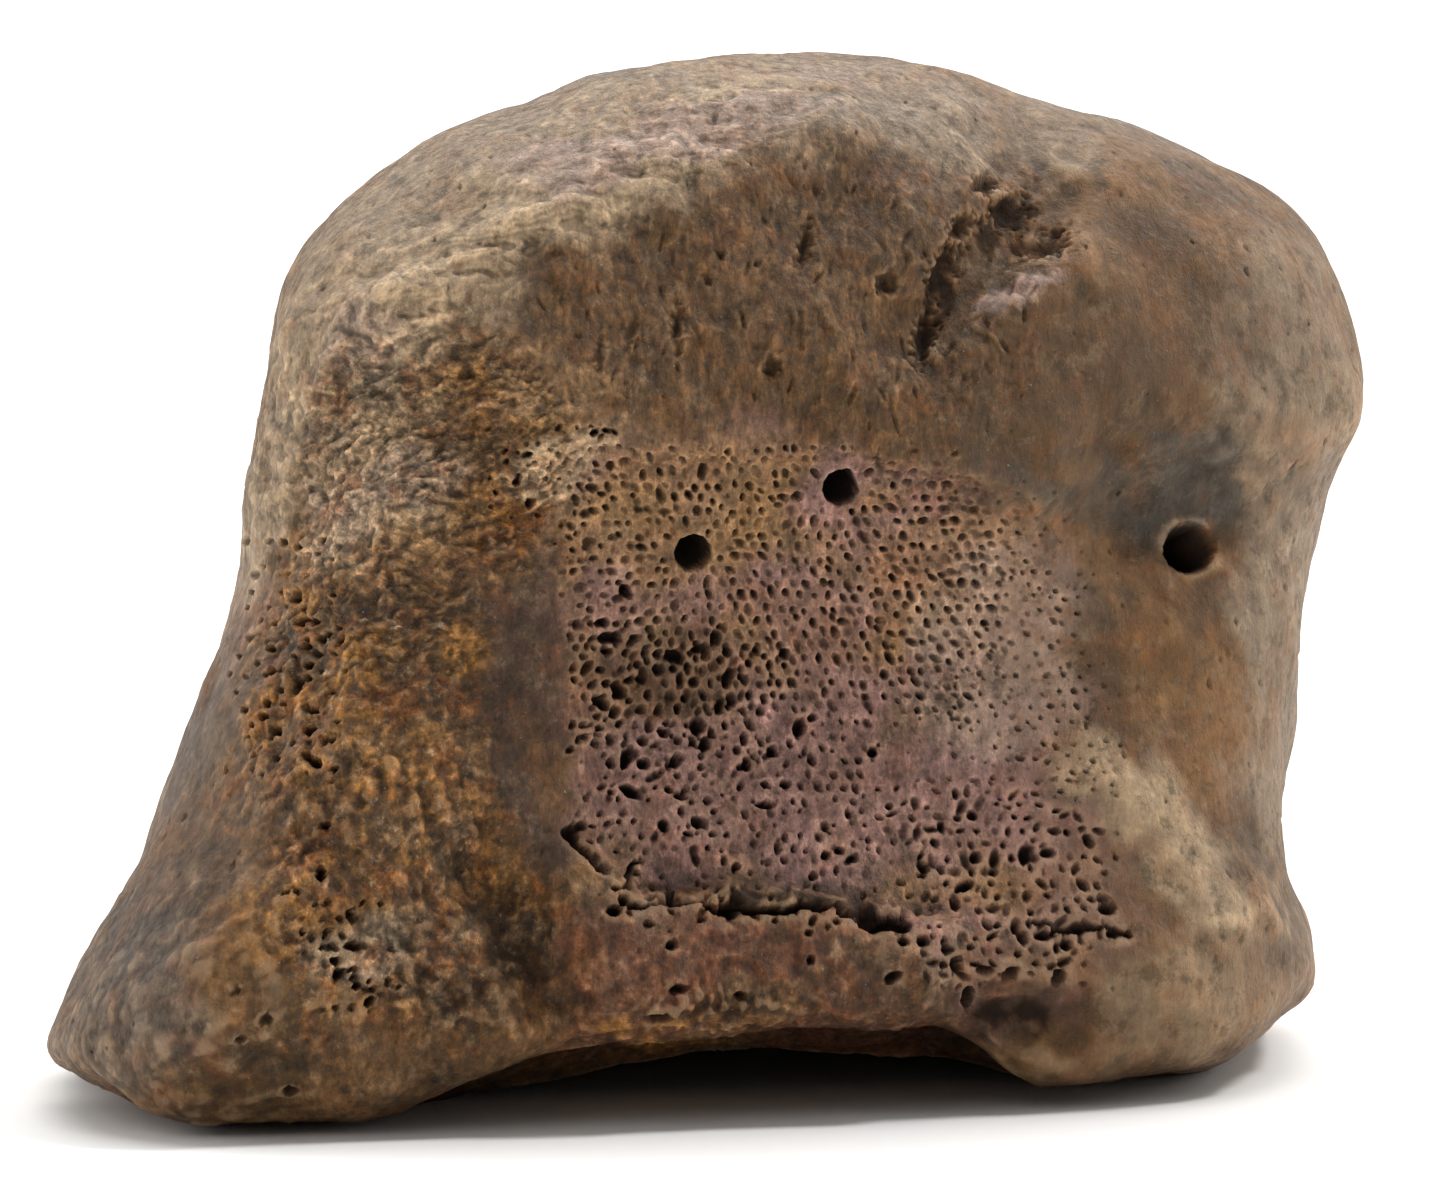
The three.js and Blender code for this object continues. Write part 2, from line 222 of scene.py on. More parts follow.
def outline_radii():
    """The outline's distance from the core, for evenly spaced angles all round."""
    offsets = np.array(OUTLINE) - CORE[[0, 2]]
    ring = sorted((math.atan2(up, across), math.hypot(across, up)) for across, up in offsets)
    turn = 2 * math.pi
    angle = np.array([a + turn * lap for lap in (-1, 0, 1) for a, _ in ring])
    radius = np.array([r for _ in range(3) for _, r in ring])
    at = np.linspace(-math.pi, math.pi, 2049)
    i = np.searchsorted(angle, at, "right")
    span = angle[i] - angle[i - 1]
    t = (at - angle[i - 1]) / span
    slope0 = (radius[i] - radius[i - 2]) / (angle[i] - angle[i - 2]) * span
    slope1 = (radius[i + 1] - radius[i - 1]) / (angle[i + 1] - angle[i - 1]) * span
    curve = (
        (2 * t ** 3 - 3 * t ** 2 + 1) * radius[i - 1]
        + (t ** 3 - 2 * t ** 2 + t) * slope0
        + (3 * t ** 2 - 2 * t ** 3) * radius[i]
        + (t ** 3 - t ** 2) * slope1
    )
    return at, curve


RADIUS_AT = outline_radii()


def base_height(x, y):
    """How high the near joint lies over the ground: hollow inside, arched in front, up at both ends."""
    middle = y - SKEW * x
    hollow = 3 * smooth(1.35 - np.hypot((x - 1.8) / 11, (middle - 1.8) / 9.2))
    front = smooth((-middle - 1.5) / 7)
    arch = 3.1 * smooth((x + 14) / 13) * smooth((11 - x) / 5)
    left_foot = 0.7
    right_foot = smooth((x - 4) / 6)
    rim = front * rounded_max(np.maximum(arch, left_foot), right_foot, 1.2)
    ends = 1.3 * smooth((-14.5 - x) / 4) + 2.2 * smooth((x - 13.5) / 5)
    rear = 0.5 * smooth((middle + 1) / 6)
    return np.maximum(hollow, rim) + ends - rear - WEAR


def outside(p):
    """Below 0 inside the bone and above 0 outside, in about millimetres."""
    x, y, z = p.T
    across, up = x - CORE[0], z - CORE[2]
    q = np.hypot(across, up) / np.interp(np.arctan2(up, across), *RADIUS_AT)
    middle = y - SKEW * x
    depth = np.where(middle < 0, along(DEPTHS, z, 1), along(DEPTHS, z, 2))
    power = SQUARENESS["foot"] + (SQUARENESS["joint"] - SQUARENESS["foot"]) * smooth((z - 4) / 18)
    body = ((q ** power + np.abs(middle / depth) ** power) ** (1 / power) - 1) * MEAN_RADIUS
    return rounded_max(body, base_height(x, y) - z, RIM_ROUNDING)


def reach(directions):
    """The distance from the core to the surface along each direction, by halving."""
    near, far = np.zeros(len(directions)), np.full(len(directions), 40.0)
    for _ in range(24):
        mid = (near + far) / 2
        out = outside(CORE + directions * mid[:, None]) > 0
        near, far = np.where(out, near, mid), np.where(out, mid, far)
    return near


FORWARD = np.array([0, math.cos(EYE_TILT), -math.sin(EYE_TILT)])
UPWARD = np.array([0, math.sin(EYE_TILT), math.cos(EYE_TILT)])
EYE = EYE_TARGET - EYE_DISTANCE * FORWARD


def seen(p):
    """Where points show on the sole."""
    ray = p - EYE
    scale = EYE_DISTANCE / (ray @ FORWARD)
    return np.stack([ray[:, 0] * scale + EYE_TARGET[0], (ray @ UPWARD) * scale + TARGET_SHOWS_AT], 1)


def normals(points, faces):
    a, b, c = (points[faces[:, i]] for i in range(3))
    facing = np.cross(b - a, c - a)
    total = np.stack(
        [sum(np.bincount(faces[:, i], facing[:, k], len(points)) for i in range(3)) for k in range(3)], 1
    )
    return total / np.maximum(np.linalg.norm(total, axis=1, keepdims=True), 1e-12)


def sole_relief(s):
    return (
        -dip(s, FOSSA)
        + 0.6 * ridge(s, JOINT_CREST, 1.3)
        + 0.6 * step(s, JOINT_MARGIN, 1, 5)
        - 0.9 * ridge(s, JOINT_GROOVE, 1.4)
        + 0.5 * ridge(s, GROOVE_LIP, 0.9)
        + 0.4 * step(s, BROKEN_EDGE, -1, 4)
        + 0.7 * step(s, LEDGE, -1, 4)
        + 0.8 * ridge(s, LEFT_RIDGE, 2.4)
        + 0.7 * ridge(s, RIGHT_RIDGE, 1.3)
        - 0.7 * ridge(s, HEEL_GULLY, 1.1)
        - dip(s, SIDE_PIT)
        - dip(s, HEEL_HOLLOW)
    )


def back_relief(b):
    return (
        0.5 * step(b, TOP_MARGIN, 1, 5)
        - dip(b, TOP_FOSSA)
        - 0.6 * ridge(b, TOP_GROOVE, 2)
    )


def swell(p):
    x, y, z = p.T
    return (
        0.12 * np.sin(0.62 * x + 0.35 * z + 1) * np.sin(0.51 * y + 0.44 * z)
        + 0.07 * np.sin(1.25 * x - 0.55 * y) * np.sin(1.05 * z + 0.62 * y + 2)
        + 0.04 * np.sin(2.1 * x + 1.3 * z) * np.sin(1.9 * y - 1.1 * x + 0.7)
    )


def relief(p, facing):
    sole = smooth((-facing[:, 1] - 0.05) / 0.4)
    back = smooth((facing[:, 1] - 0.05) / 0.4)
    left = smooth((-facing[:, 0] - 0.3) / 0.4)
    worn_line = seen(p) + 0.3 * shifts(p, 0.9, 80, 2)
    return (
        swell(p)
        + sole * sole_relief(worn_line)
        + back * back_relief(p[:, [0, 2]])
        - left * LIGAMENT_PIT["depth"] * oval(p[:, [1, 2]], LIGAMENT_PIT)
    )


def ball(splits, crowding):
    """Directions and triangles of an evenly split ball, then crowded towards the sole."""
    bm = bmesh.new()
    bmesh.ops.create_icosphere(bm, subdivisions=splits, radius=1)
    mesh = bpy.data.meshes.new("ball")
    bm.to_mesh(mesh)
    bm.free()
    directions = np.empty(len(mesh.vertices) * 3, np.float32)
    faces = np.empty(len(mesh.polygons) * 3, np.int32)
    mesh.vertices.foreach_get("co", directions)
    mesh.polygons.foreach_get("vertices", faces)
    bpy.data.meshes.remove(mesh)
    directions = directions.reshape(-1, 3).astype(float) - [0, crowding, 0]
    return directions / np.linalg.norm(directions, axis=1, keepdims=True), faces.reshape(-1, 3)


# ---- Where things are on the sole ----

SPONGE = [
    (-3.9, 17.9), (-3.4, 19.8), (-0.2, 19.3), (1.5, 19.8), (4.1, 19.3), (8.5, 18.0), (10.2, 16.0),
    (11.0, 12.8), (12.0, 9.3), (12.9, 5.5), (11.1, 3.2), (7.3, 3.4), (5.6, 5.4), (2.7, 6.2),
    (-0.2, 6.5), (-2.0, 6.2), (-3.1, 7.2), (-3.9, 8.7),
]
SMOOTH_PATCH = [(-6.0, 15.1), (-4.0, 17.4), (-4.0, 7.2), (-4.9, 7.0), (-6.3, 9.3), (-6.9, 11.6)]
CRUST = [
    (-11.6, 21.0), (-10.2, 23.0), (-6.4, 23.2), (-4.0, 21.8), (-3.4, 20.0), (-4.3, 17.1), (-6.1, 15.1),
    (-6.9, 11.6), (-6.3, 9.3), (-4.7, 6.7), (-4.3, 3.5), (-8.4, 2.2), (-11.5, 3.0), (-12.6, 5.0),
    (-13.4, 9.3), (-13.0, 13.6), (-12.0, 17.0),
]
RIM_BAND = [
    (-4.6, 6.6), (-2.0, 6.0), (2.7, 5.9), (5.6, 5.3), (7.3, 3.4), (8.0, 1.6), (-0.5, 1.9), (-4.6, 1.6),
]
STREAKED = [
    (-9.4, 20.2), (-3.2, 20.2), (4.4, 19.6), (8.0, 19.4), (10.6, 25.0), (9.0, 27.8), (3.0, 28.6),
    (0.0, 27.2), (-4.3, 23.9),
]
# The crest line and the top band are painted paler: partly the bone's own colour, partly painted light
# where the bone faces up.
BRIGHT_CREST = [(-13.2, 18.6), (-11.9, 20.9), (-9.0, 23.8), (-6.0, 25.3), (-2.6, 27.2), (0.9, 28.8)]
PALE_LIT_TOP = [
    (-12.4, 19.4), (-8.4, 22.2), (-4.3, 25.2), (-2.0, 26.7), (-0.6, 27.2), (1.3, 28.1), (4.9, 28.3),
    (8.7, 27.6), (10.6, 27.0), (12.0, 29.0), (5.0, 32.0), (-6.0, 31.0), (-14.0, 25.0),
]

# Holes where blood vessels went in: the place, half the width, the depth, and how soft the edge is.
VESSEL_HOLES = [
    (-0.4, 16.4, 0.42, 2.8, 0.5), (3.9, 18.3, 0.40, 2.8, 0.5), (14.0, 16.6, 0.55, 2.0, 0.8),
    (-2.35, 15.3, 0.17, 0.9, 0.4),
]
BACK_HOLES = [(-3.2, 13.6, 0.45, 2.4, 0.3), (6.4, 16.2, 0.4, 2.2, 0.3)]

# Pits that stand out: the place, half the length, half the width, the lean in degrees, the depth.
BIG_PITS = [
    (-2.29, 10.57, 0.33, 0.17, 60, 0.7), (-1.84, 10.37, 0.17, 0.16, 0, 0.6),
    (-1.49, 10.04, 0.16, 0.14, 0, 0.25), (-2.20, 9.53, 0.31, 0.15, -28, 0.7),
    (-0.86, 10.48, 0.22, 0.14, 75, 0.5), (-1.25, 11.29, 0.17, 0.15, 0, 0.6),
    (-0.27, 11.43, 0.27, 0.19, 85, 0.7), (-0.03, 10.93, 0.22, 0.15, 80, 0.6),
    (1.19, 10.36, 0.22, 0.14, 75, 0.6), (1.93, 10.72, 0.17, 0.16, 0, 0.6),
    (1.72, 9.18, 0.27, 0.13, 0, 0.6), (-1.28, 8.52, 0.21, 0.16, 90, 0.6),
    (-0.21, 8.67, 0.20, 0.18, 0, 0.6), (-0.54, 8.28, 0.16, 0.10, -20, 0.5),
    (-3.00, 7.33, 0.19, 0.17, 0, 0.7), (-3.47, 11.08, 0.14, 0.13, 0, 0.5),
    (-3.51, 9.32, 0.10, 0.10, 0, 0.4), (-2.79, 9.53, 0.11, 0.10, 0, 0.3),
    (-1.10, 9.60, 0.13, 0.12, 0, 0.4), (-0.75, 9.45, 0.19, 0.13, -20, 0.5),
    (2.28, 9.77, 0.14, 0.13, 0, 0.4), (1.72, 9.77, 0.13, 0.12, 0, 0.4),
    (4.78, 10.69, 0.16, 0.15, 0, 0.5), (-3.03, 12.09, 0.28, 0.15, -35, 0.6),
    (-2.53, 12.47, 0.25, 0.18, -60, 0.7), (-2.77, 13.96, 0.30, 0.14, -20, 0.6),
    (-0.92, 13.40, 0.27, 0.18, -15, 0.6), (-0.21, 13.63, 0.25, 0.12, 15, 0.5),
    (0.38, 12.03, 0.27, 0.13, 65, 0.5), (0.68, 12.92, 0.25, 0.15, 50, 0.5),
    (2.70, 11.40, 0.28, 0.17, 70, 0.6), (3.06, 11.67, 0.15, 0.10, 20, 0.4),
    (2.26, 13.48, 0.16, 0.14, 0, 0.5), (0.86, 7.36, 0.11, 0.10, 0, 0.4),
    (3.46, 7.66, 0.14, 0.12, 0, 0.4), (3.86, 7.78, 0.12, 0.10, 0, 0.4),
    (4.22, 7.57, 0.20, 0.12, 30, 0.5), (3.11, 7.07, 0.13, 0.12, 0, 0.4),
]
CRUST_PITS = [
    (-11.99, 15.1, 0.14, 0.12, 0, 0.5), (-11.84, 14.46, 0.20, 0.12, 10, 0.5),
    (-11.48, 14.46, 0.12, 0.12, 0, 0.4), (-11.68, 13.73, 0.11, 0.10, 0, 0.4),
    (-11.61, 13.19, 0.13, 0.12, 0, 0.5), (-12.72, 13.66, 0.12, 0.11, 0, 0.4),
    (-12.66, 12.99, 0.14, 0.12, 0, 0.5), (-11.95, 12.72, 0.14, 0.12, 0, 0.5),
    (-12.89, 11.67, 0.14, 0.12, 0, 0.5), (-12.62, 11.29, 0.16, 0.14, 0, 0.5),
    (-11.61, 11.32, 0.18, 0.15, 0, 0.5), (-11.48, 10.39, 0.26, 0.14, -40, 0.6),
    (-11.73, 10.59, 0.14, 0.12, 0, 0.5), (-11.18, 8.53, 0.15, 0.09, 0, 0.4),
    (-11.27, 7.11, 0.21, 0.12, 85, 0.6), (-12.38, 12.43, 0.11, 0.10, 0, 0.4),
    (-11.55, 11.90, 0.20, 0.10, -10, 0.4), (-11.12, 14.09, 0.10, 0.09, 0, 0.3),
    (-10.95, 11.00, 0.11, 0.10, 0, 0.3), (-10.88, 10.16, 0.11, 0.10, 0, 0.3),
    (-12.28, 6.52, 0.08, 0.07, 0, 0.3), (-12.00, 6.55, 0.08, 0.07, 0, 0.3),
    (-10.40, 5.94, 0.18, 0.11, 80, 0.5), (-11.03, 5.47, 0.09, 0.08, 0, 0.3),
    (-11.84, 5.40, 0.12, 0.07, 20, 0.3), (-10.83, 4.57, 0.15, 0.13, 0, 0.6),
    (-10.71, 4.22, 0.15, 0.13, 0, 0.6), (-10.28, 5.00, 0.29, 0.13, -5, 0.5),
    (-10.20, 3.87, 0.13, 0.11, 0, 0.5), (-9.85, 3.40, 0.18, 0.10, 60, 0.5),
    (-10.33, 4.34, 0.13, 0.08, 0, 0.4), (-9.78, 3.72, 0.09, 0.08, 0, 0.4),
    (-12.86, 2.86, 0.21, 0.14, 20, 0.2), (-13.63, 2.27, 0.15, 0.08, 0, 0.2),
    (-12.19, 0.79, 0.20, 0.12, 10, 0.3), (-13.71, 3.72, 0.13, 0.09, 20, 0.2),
]
LOW_PITS = [
    (5.69, 5.16, 0.17, 0.13, 0, 0.5), (6.29, 5.19, 0.20, 0.17, 0, 0.5),
    (7.03, 4.92, 0.17, 0.13, 0, 0.5), (7.32, 4.42, 0.26, 0.18, -60, 0.6),
    (8.83, 4.17, 0.31, 0.16, 50, 0.6), (8.12, 4.25, 0.23, 0.14, 0, 0.5),
    (7.63, 3.50, 0.23, 0.17, 80, 0.6), (5.37, 4.10, 0.25, 0.13, 30, 0.5),
    (10.24, 4.03, 0.28, 0.15, 55, 0.5), (6.29, 7.38, 0.20, 0.16, 0, 0.5),
    (6.82, 8.51, 0.20, 0.12, -70, 0.5), (9.25, 7.70, 0.30, 0.20, 80, 0.6),
    (9.89, 7.74, 0.23, 0.15, 0, 0.4), (7.81, 7.62, 0.18, 0.15, 0, 0.5),
    (7.49, 6.82, 0.25, 0.15, 20, 0.5), (11.83, 5.40, 0.21, 0.15, 0, 0.4),
    (11.65, 6.15, 0.25, 0.18, 0, 0.4), (9.78, 5.37, 0.23, 0.15, 0, 0.5),
    (10.45, 5.09, 0.20, 0.15, 90, 0.5), (10.80, 5.51, 0.20, 0.14, 0, 0.5),
    (3.00, 4.60, 0.12, 0.11, 0, 0.4), (-2.72, 6.06, 0.21, 0.16, 20, 0.7),
    (-2.45, 6.37, 0.16, 0.15, 0, 0.7), (-0.85, 3.75, 0.26, 0.13, 10, 0.5),
    (0.95, 3.55, 0.17, 0.13, 0, 0.4), (-1.45, 2.90, 0.40, 0.14, 0, 0.5),
    (-1.05, 5.05, 0.16, 0.14, 0, 0.5),
]
STREAK_PITS = [
    (-3.13, 22.30, 0.55, 0.12, 85, 0.18), (-2.24, 22.93, 0.40, 0.13, 75, 0.15),
    (-0.81, 23.37, 0.45, 0.13, 100, 0.2), (-0.85, 22.39, 0.28, 0.12, 85, 0.25),
    (1.95, 21.68, 0.45, 0.16, 100, 0.15), (2.75, 25.24, 0.60, 0.12, 95, 0.15),
    (2.67, 22.84, 0.50, 0.13, 90, 0.12), (0.39, 25.15, 0.12, 0.09, 90, 0.25),
    (1.42, 24.89, 0.10, 0.09, 90, 0.2), (1.64, 26.13, 0.20, 0.10, 90, 0.15),
    (-2.59, 26.13, 0.45, 0.22, 20, 0.12), (0.00, 24.44, 0.20, 0.12, 80, 0.2),
    (-7.13, 21.63, 0.40, 0.12, 10, 0.3), (-5.09, 21.59, 0.25, 0.12, -10, 0.2),
    (6.90, 24.70, 0.95, 0.28, 68, 0.5), (6.30, 22.80, 0.75, 0.24, 75, 0.5),
    (8.80, 26.40, 0.70, 0.36, 40, 0.5), (9.90, 25.40, 0.60, 0.26, 22, 0.45),
    (8.10, 27.20, 0.34, 0.22, 0, 0.45), (5.20, 24.30, 0.32, 0.24, 60, 0.35),
    (1.90, 21.85, 0.36, 0.20, 80, 0.4), (2.80, 25.40, 0.60, 0.16, 80, 0.35),
    (-0.90, 23.10, 0.50, 0.14, 85, 0.35), (7.40, 25.90, 0.40, 0.22, 60, 0.4),
]
EDGE_PITS = [
    (-3.28, 19.96, 0.17, 0.11, 25, 0.5), (-2.95, 20.02, 0.15, 0.08, -12, 0.4),
    (-3.10, 19.80, 0.16, 0.09, 60, 0.4), (-2.72, 19.98, 0.12, 0.07, -30, 0.3),
    (-5.30, 19.30, 0.13, 0.10, 0, 0.4), (-5.05, 19.05, 0.10, 0.08, 0, 0.3),
    (-4.62, 18.92, 0.12, 0.08, 20, 0.3), (-5.60, 18.50, 0.12, 0.10, 0, 0.4),
    (-5.20, 17.90, 0.16, 0.10, 70, 0.4),
]

# Cracks: the line, then the half-width and the depth.
CRACKS = [
    ([(-3.9, 8.3), (-3.6, 7.8), (-3.2, 7.5)], 0.15, 0.6),
    ([(-2.8, 6.7), (-2.4, 7.0), (-1.9, 7.15)], 0.08, 0.5),
    ([(-2.1, 6.0), (-1.35, 6.5), (-0.8, 6.35), (-0.2, 6.5), (0.4, 6.15), (1.0, 6.3)], 0.09, 0.5),
    ([(0.6, 6.2), (1.5, 6.05), (2.0, 6.0), (3.1, 6.15), (3.7, 6.2), (4.45, 6.0), (5.8, 5.65)], 0.12, 0.8),
    ([(9.4, 5.65), (11.0, 5.6), (12.3, 5.4)], 0.08, 0.3),
]

# Where each field of pores is.
SIEVE = [
    (-4.1, 17.9), (-4.3, 19.6), (-0.2, 19.4), (1.5, 19.8), (4.1, 19.4), (6.8, 18.8), (9.2, 16.6),
    (8.8, 13.8), (7.6, 11.8), (4.0, 11.6), (1.6, 11.9), (-1.2, 12.2), (-4.0, 12.6),
]
DARK_SIEVE = [(-4.0, 14.6), (1.2, 14.2), (2.4, 12.9), (1.6, 10.9), (-2.0, 10.6), (-4.0, 11.0)]
LOW_SIEVE = [
    (5.0, 10.0), (9.0, 10.4), (11.4, 8.6), (11.8, 5.4), (10.4, 3.4), (7.4, 3.5), (6.0, 5.4), (5.2, 7.4),
]
FLOOR = [
    (-3.8, 12.0), (-2.0, 11.9), (0.8, 11.6), (5.0, 11.8), (5.2, 7.4), (2.7, 6.4), (-0.2, 6.6),
    (-3.0, 7.4), (-3.8, 9.0),
]
FADE = [
    (6.4, 18.6), (9.4, 18.2), (10.6, 16.0), (12.0, 12.0), (12.6, 9.0), (9.0, 9.6), (6.0, 11.4),
    (7.2, 14.6),
]
NODULES = [(-6.4, 20.4), (-3.6, 20.4), (-3.8, 17.2), (-5.2, 16.8), (-6.6, 18.4)]
CRACK_BAND = [
    (-3.9, 8.6), (-3.4, 8.4), (-2.6, 7.2), (-1.6, 7.3), (-0.2, 6.9), (1.6, 6.7), (4.4, 6.6), (6.0, 6.2),
    (6.0, 5.4), (4.4, 5.7), (1.5, 5.8), (-0.2, 6.1), (-2.0, 5.9), (-3.2, 6.8),
]
FLANK = [(-13.4, 17.0), (-11.2, 17.0), (-10.4, 13.0), (-10.6, 9.6), (-12.4, 9.6), (-14.2, 11.6)]
FOOT_PORES = [(-11.8, 6.4), (-9.6, 6.4), (-9.2, 3.4), (-11.2, 3.2)]

# The whole bone from in front or behind, from one side, and from above or below.
WHOLE = [(-19, 0), (20, 0), (20, 31), (-19, 31)]
SIDE_ON = [(-16, 0), (16, 0), (16, 30), (-16, 30)]
FROM_ABOVE = [(-19, -16), (20, -16), (20, 16), (-19, 16)]

# ---- Pits and pores ----


class Chart:
    """Part of the skin laid out flat, sorted into squares so that what lies near a place is found fast."""

    SQUARE = 0.6
    WIDE = 1000

    def __init__(self, places, members):
        square = np.floor(places / self.SQUARE).astype(np.int64)
        keys = square[:, 0] * self.WIDE + square[:, 1]
        order = np.argsort(keys, kind="stable")
        self.keys = keys[order]
        self.members = members[order]
        self.at = places[order]

    def near(self, x, y, span):
        """The places up to span from x, y on either axis, and which of the skin's points they are."""
        rows = range(math.floor((x - span) / self.SQUARE), math.floor((x + span) / self.SQUARE) + 1)
        low, high = math.floor((y - span) / self.SQUARE), math.floor((y + span) / self.SQUARE)
        found = []
        for row in rows:
            ends = [row * self.WIDE + low, row * self.WIDE + high + 1]
            found.append(slice(*np.searchsorted(self.keys, ends)))
        places = np.concatenate([self.at[s] for s in found])
        return places, np.concatenate([self.members[s] for s in found])


def lattice(corners, spacing, jitter=0.15):
    """Places over the box round an outline, in a loose honeycomb."""
    low, high = np.min(corners, 0), np.max(corners, 0)
    rows = np.arange(low[1], high[1], spacing * 0.87)
    columns = np.arange(low[0], high[0], spacing)
    places = [(x + spacing / 2 * (i % 2), y) for i, y in enumerate(rows) for x in columns]
    return np.array(places) + rng.normal(0, jitter * spacing, (len(places), 2))


def towards_holes(x, y):
    """The lean, in radians, of a pore that points at the vessel holes of the sponge."""
    pull = np.zeros(2)
    for hole_x, hole_y, *_ in VESSEL_HOLES[:2]:
        way = np.array([hole_x - x, hole_y - y])
        pull += way / (math.hypot(*way) + 0.3) ** 2.5
    return math.atan2(pull[1], pull[0])


# How far a pit is felt, and where its raised rim stands and how wide it is, in half-widths of the pit.
PIT_REACH = 1.8
RIM_AT = 1.35
RIM_WIDTH = 0.28


def press(chart, cut, lip, wobble, x, y, long, short, lean, depth, edge=0.45, rim=0.0, ragged=0.22):
    """Presses one pit into the skin: cut is how deep its points are sunk, lip how far they are raised."""
    at, who = chart.near(x, y, long * PIT_REACH)
    if not len(at):
        return
    across, up = (at - (x, y)).T
    c, s = math.cos(lean), math.sin(lean)
    out = np.hypot((across * c + up * s) / long, (up * c - across * s) / short) * (1 + ragged * wobble[who])
    cut[who] = np.maximum(cut[who], depth * (1 - smooth((out - (1 - edge)) / (edge * 1.5))))
    lip[who] = np.maximum(lip[who], rim * np.exp(-(((out - RIM_AT) / RIM_WIDTH) ** 2)))


def press_field(
    chart, cut, lip, wobble, corners, spacing, sizes, stretch, depths, lean, share, rim, edge
):
    """Presses many pits of one kind over a place: most of them small, and fewer at its edges."""
    places = lattice(corners, spacing)
    in_space = np.column_stack([places, np.zeros(len(places))])
    drift = 0.9 * shifts(in_space, 2.1, 50, 2)
    within = inside(places + drift, corners, 0.9)
    holes = VESSEL_HOLES[:2]
    for (x, y), near_middle in zip(places, within):
        beside_hole = any(math.hypot(x - hx, y - hy) < 1.7 * radius for hx, hy, radius, *_ in holes)
        if beside_hole or rng.random() > share * near_middle:
            continue
        size = rng.random() ** 1.6 * near_middle
        short = sizes[0] + (sizes[1] - sizes[0]) * size
        depth = depths[0] + (depths[1] - depths[0]) * rng.random() * near_middle
        long = short * rng.uniform(*stretch)
        press(chart, cut, lip, wobble, x, y, long, short, lean(x, y) + rng.normal(0, 0.3), depth, edge, rim)


def upright(x, y):
    return math.pi / 2


def any_way(x, y):
    return rng.uniform(0, math.pi)


# The fields of pores on the sole: the place, the spacing, the half-widths, how much longer than wide,
# the depths, the lean, the share of places that have one, the rim's height and how soft the edge is.
PORE_FIELDS = [
    (SIEVE, 0.41, (0.07, 0.125), (1.0, 1.8), (0.05, 0.38), towards_holes, 1.0, 0.02, 0.85),
    (DARK_SIEVE, 0.48, (0.08, 0.14), (1.0, 1.8), (0.12, 0.75), towards_holes, 1.0, 0.02, 0.85),
    (LOW_SIEVE, 0.44, (0.06, 0.13), (1.0, 2.2), (0.05, 0.45), any_way, 0.95, 0.02, 0.85),
    (CRACK_BAND, 0.40, (0.05, 0.16), (1.0, 2.2), (0.12, 0.5), any_way, 0.75, 0.0, 0.6),
    (FLOOR, 0.42, (0.05, 0.12), (1.0, 1.8), (0.04, 0.4), towards_holes, 0.9, 0.0, 0.85),
    (FADE, 0.44, (0.05, 0.09), (1.0, 1.6), (0.03, 0.2), towards_holes, 0.9, 0.0, 0.6),
    (NODULES, 0.42, (0.05, 0.10), (1.0, 1.6), (0.1, 0.35), any_way, 0.8, 0.03, 0.6),
    (FLANK, 0.55, (0.06, 0.12), (1.0, 1.5), (0.1, 0.4), any_way, 0.8, 0.04, 0.6),
    (FOOT_PORES, 0.5, (0.05, 0.12), (1.0, 1.6), (0.1, 0.4), any_way, 0.8, 0.03, 0.6),
    (STREAKED, 0.9, (0.05, 0.09), (2.0, 6.0), (0.03, 0.09), upright, 0.6, 0.0, 0.6),
    (WHOLE, 1.1, (0.03, 0.07), (1.0, 2.4), (0.01, 0.05), any_way, 0.5, 0.0, 0.6),
]


def press_sole(chart, cut, lip, wobble):
    tools = (chart, cut, lip, wobble)
    for field in PORE_FIELDS:
        press_field(*tools, *field)
    for pits, wider, deeper, kind in (
        (BIG_PITS + LOW_PITS + EDGE_PITS, 1, 1, {"edge": 0.6, "rim": 0.02}),
        (STREAK_PITS, 1.2, 0.8, {"edge": 0.95, "ragged": 0.5}),
        (CRUST_PITS, 1, 1, {"rim": 0.06}),
    ):
        for x, y, long, short, lean, depth in pits:
            press(*tools, x, y, long, short * wider, math.radians(lean), depth * deeper, **kind)
    for x, y, radius, depth, edge in VESSEL_HOLES:
        press(*tools, x, y, radius * 1.08, radius * 1.08, 0.0, depth, edge, ragged=0.08)


def press_rest(charts, cut, lip, wobble):
    """The back, the sides, the top and the near joint: fine pits, thinly spread, and a few larger holes."""
    for chart, corners, holes in charts:
        tools = (chart, cut, lip, wobble)
        press_field(*tools, corners, 0.9, (0.03, 0.08), (1.0, 2.4), (0.02, 0.12), upright, 0.35, 0.0, 0.6)
        for x, y, radius, depth, edge in holes:
            press(*tools, x, y, radius * 1.1, radius, 0.3, depth, edge, ragged=0.06)


# ---- The skin ----


def stretched(p, size, stretch, along_axis):
    """Coordinates for noise whose bumps are longer along one axis."""
    q = p.copy()
    q[:, along_axis] /= stretch
    return q / size


def skin_zones(p, facing):
    """Where each point shows on the sole, how far it faces that way, and how much it has of each skin."""
    s = seen(p)
    sole = smooth((-facing[:, 1] + 0.1) / 0.35)
    drift = 1.1 * shifts(p, 2.2, 1, 2)
    drift += 0.35 * shifts(p, 0.6, 3, 2)
    w = s + drift
    zones = {
        "sponge": sole * inside(w, SPONGE, 0.9) * (1 - 0.8 * smooth((w[:, 0] - 8.0) / 5)),
        "smooth_patch": sole * inside(w, SMOOTH_PATCH, 0.5),
        "crust": sole * inside(w, CRUST, 1.0),
        "rim_band": sole * inside(w, RIM_BAND, 0.4),
        "streaked": sole * inside(w, STREAKED, 1.4),
        "pale_lit_top": sole * inside(w, PALE_LIT_TOP, 0.8),
    }
    return s, w, sole, zones


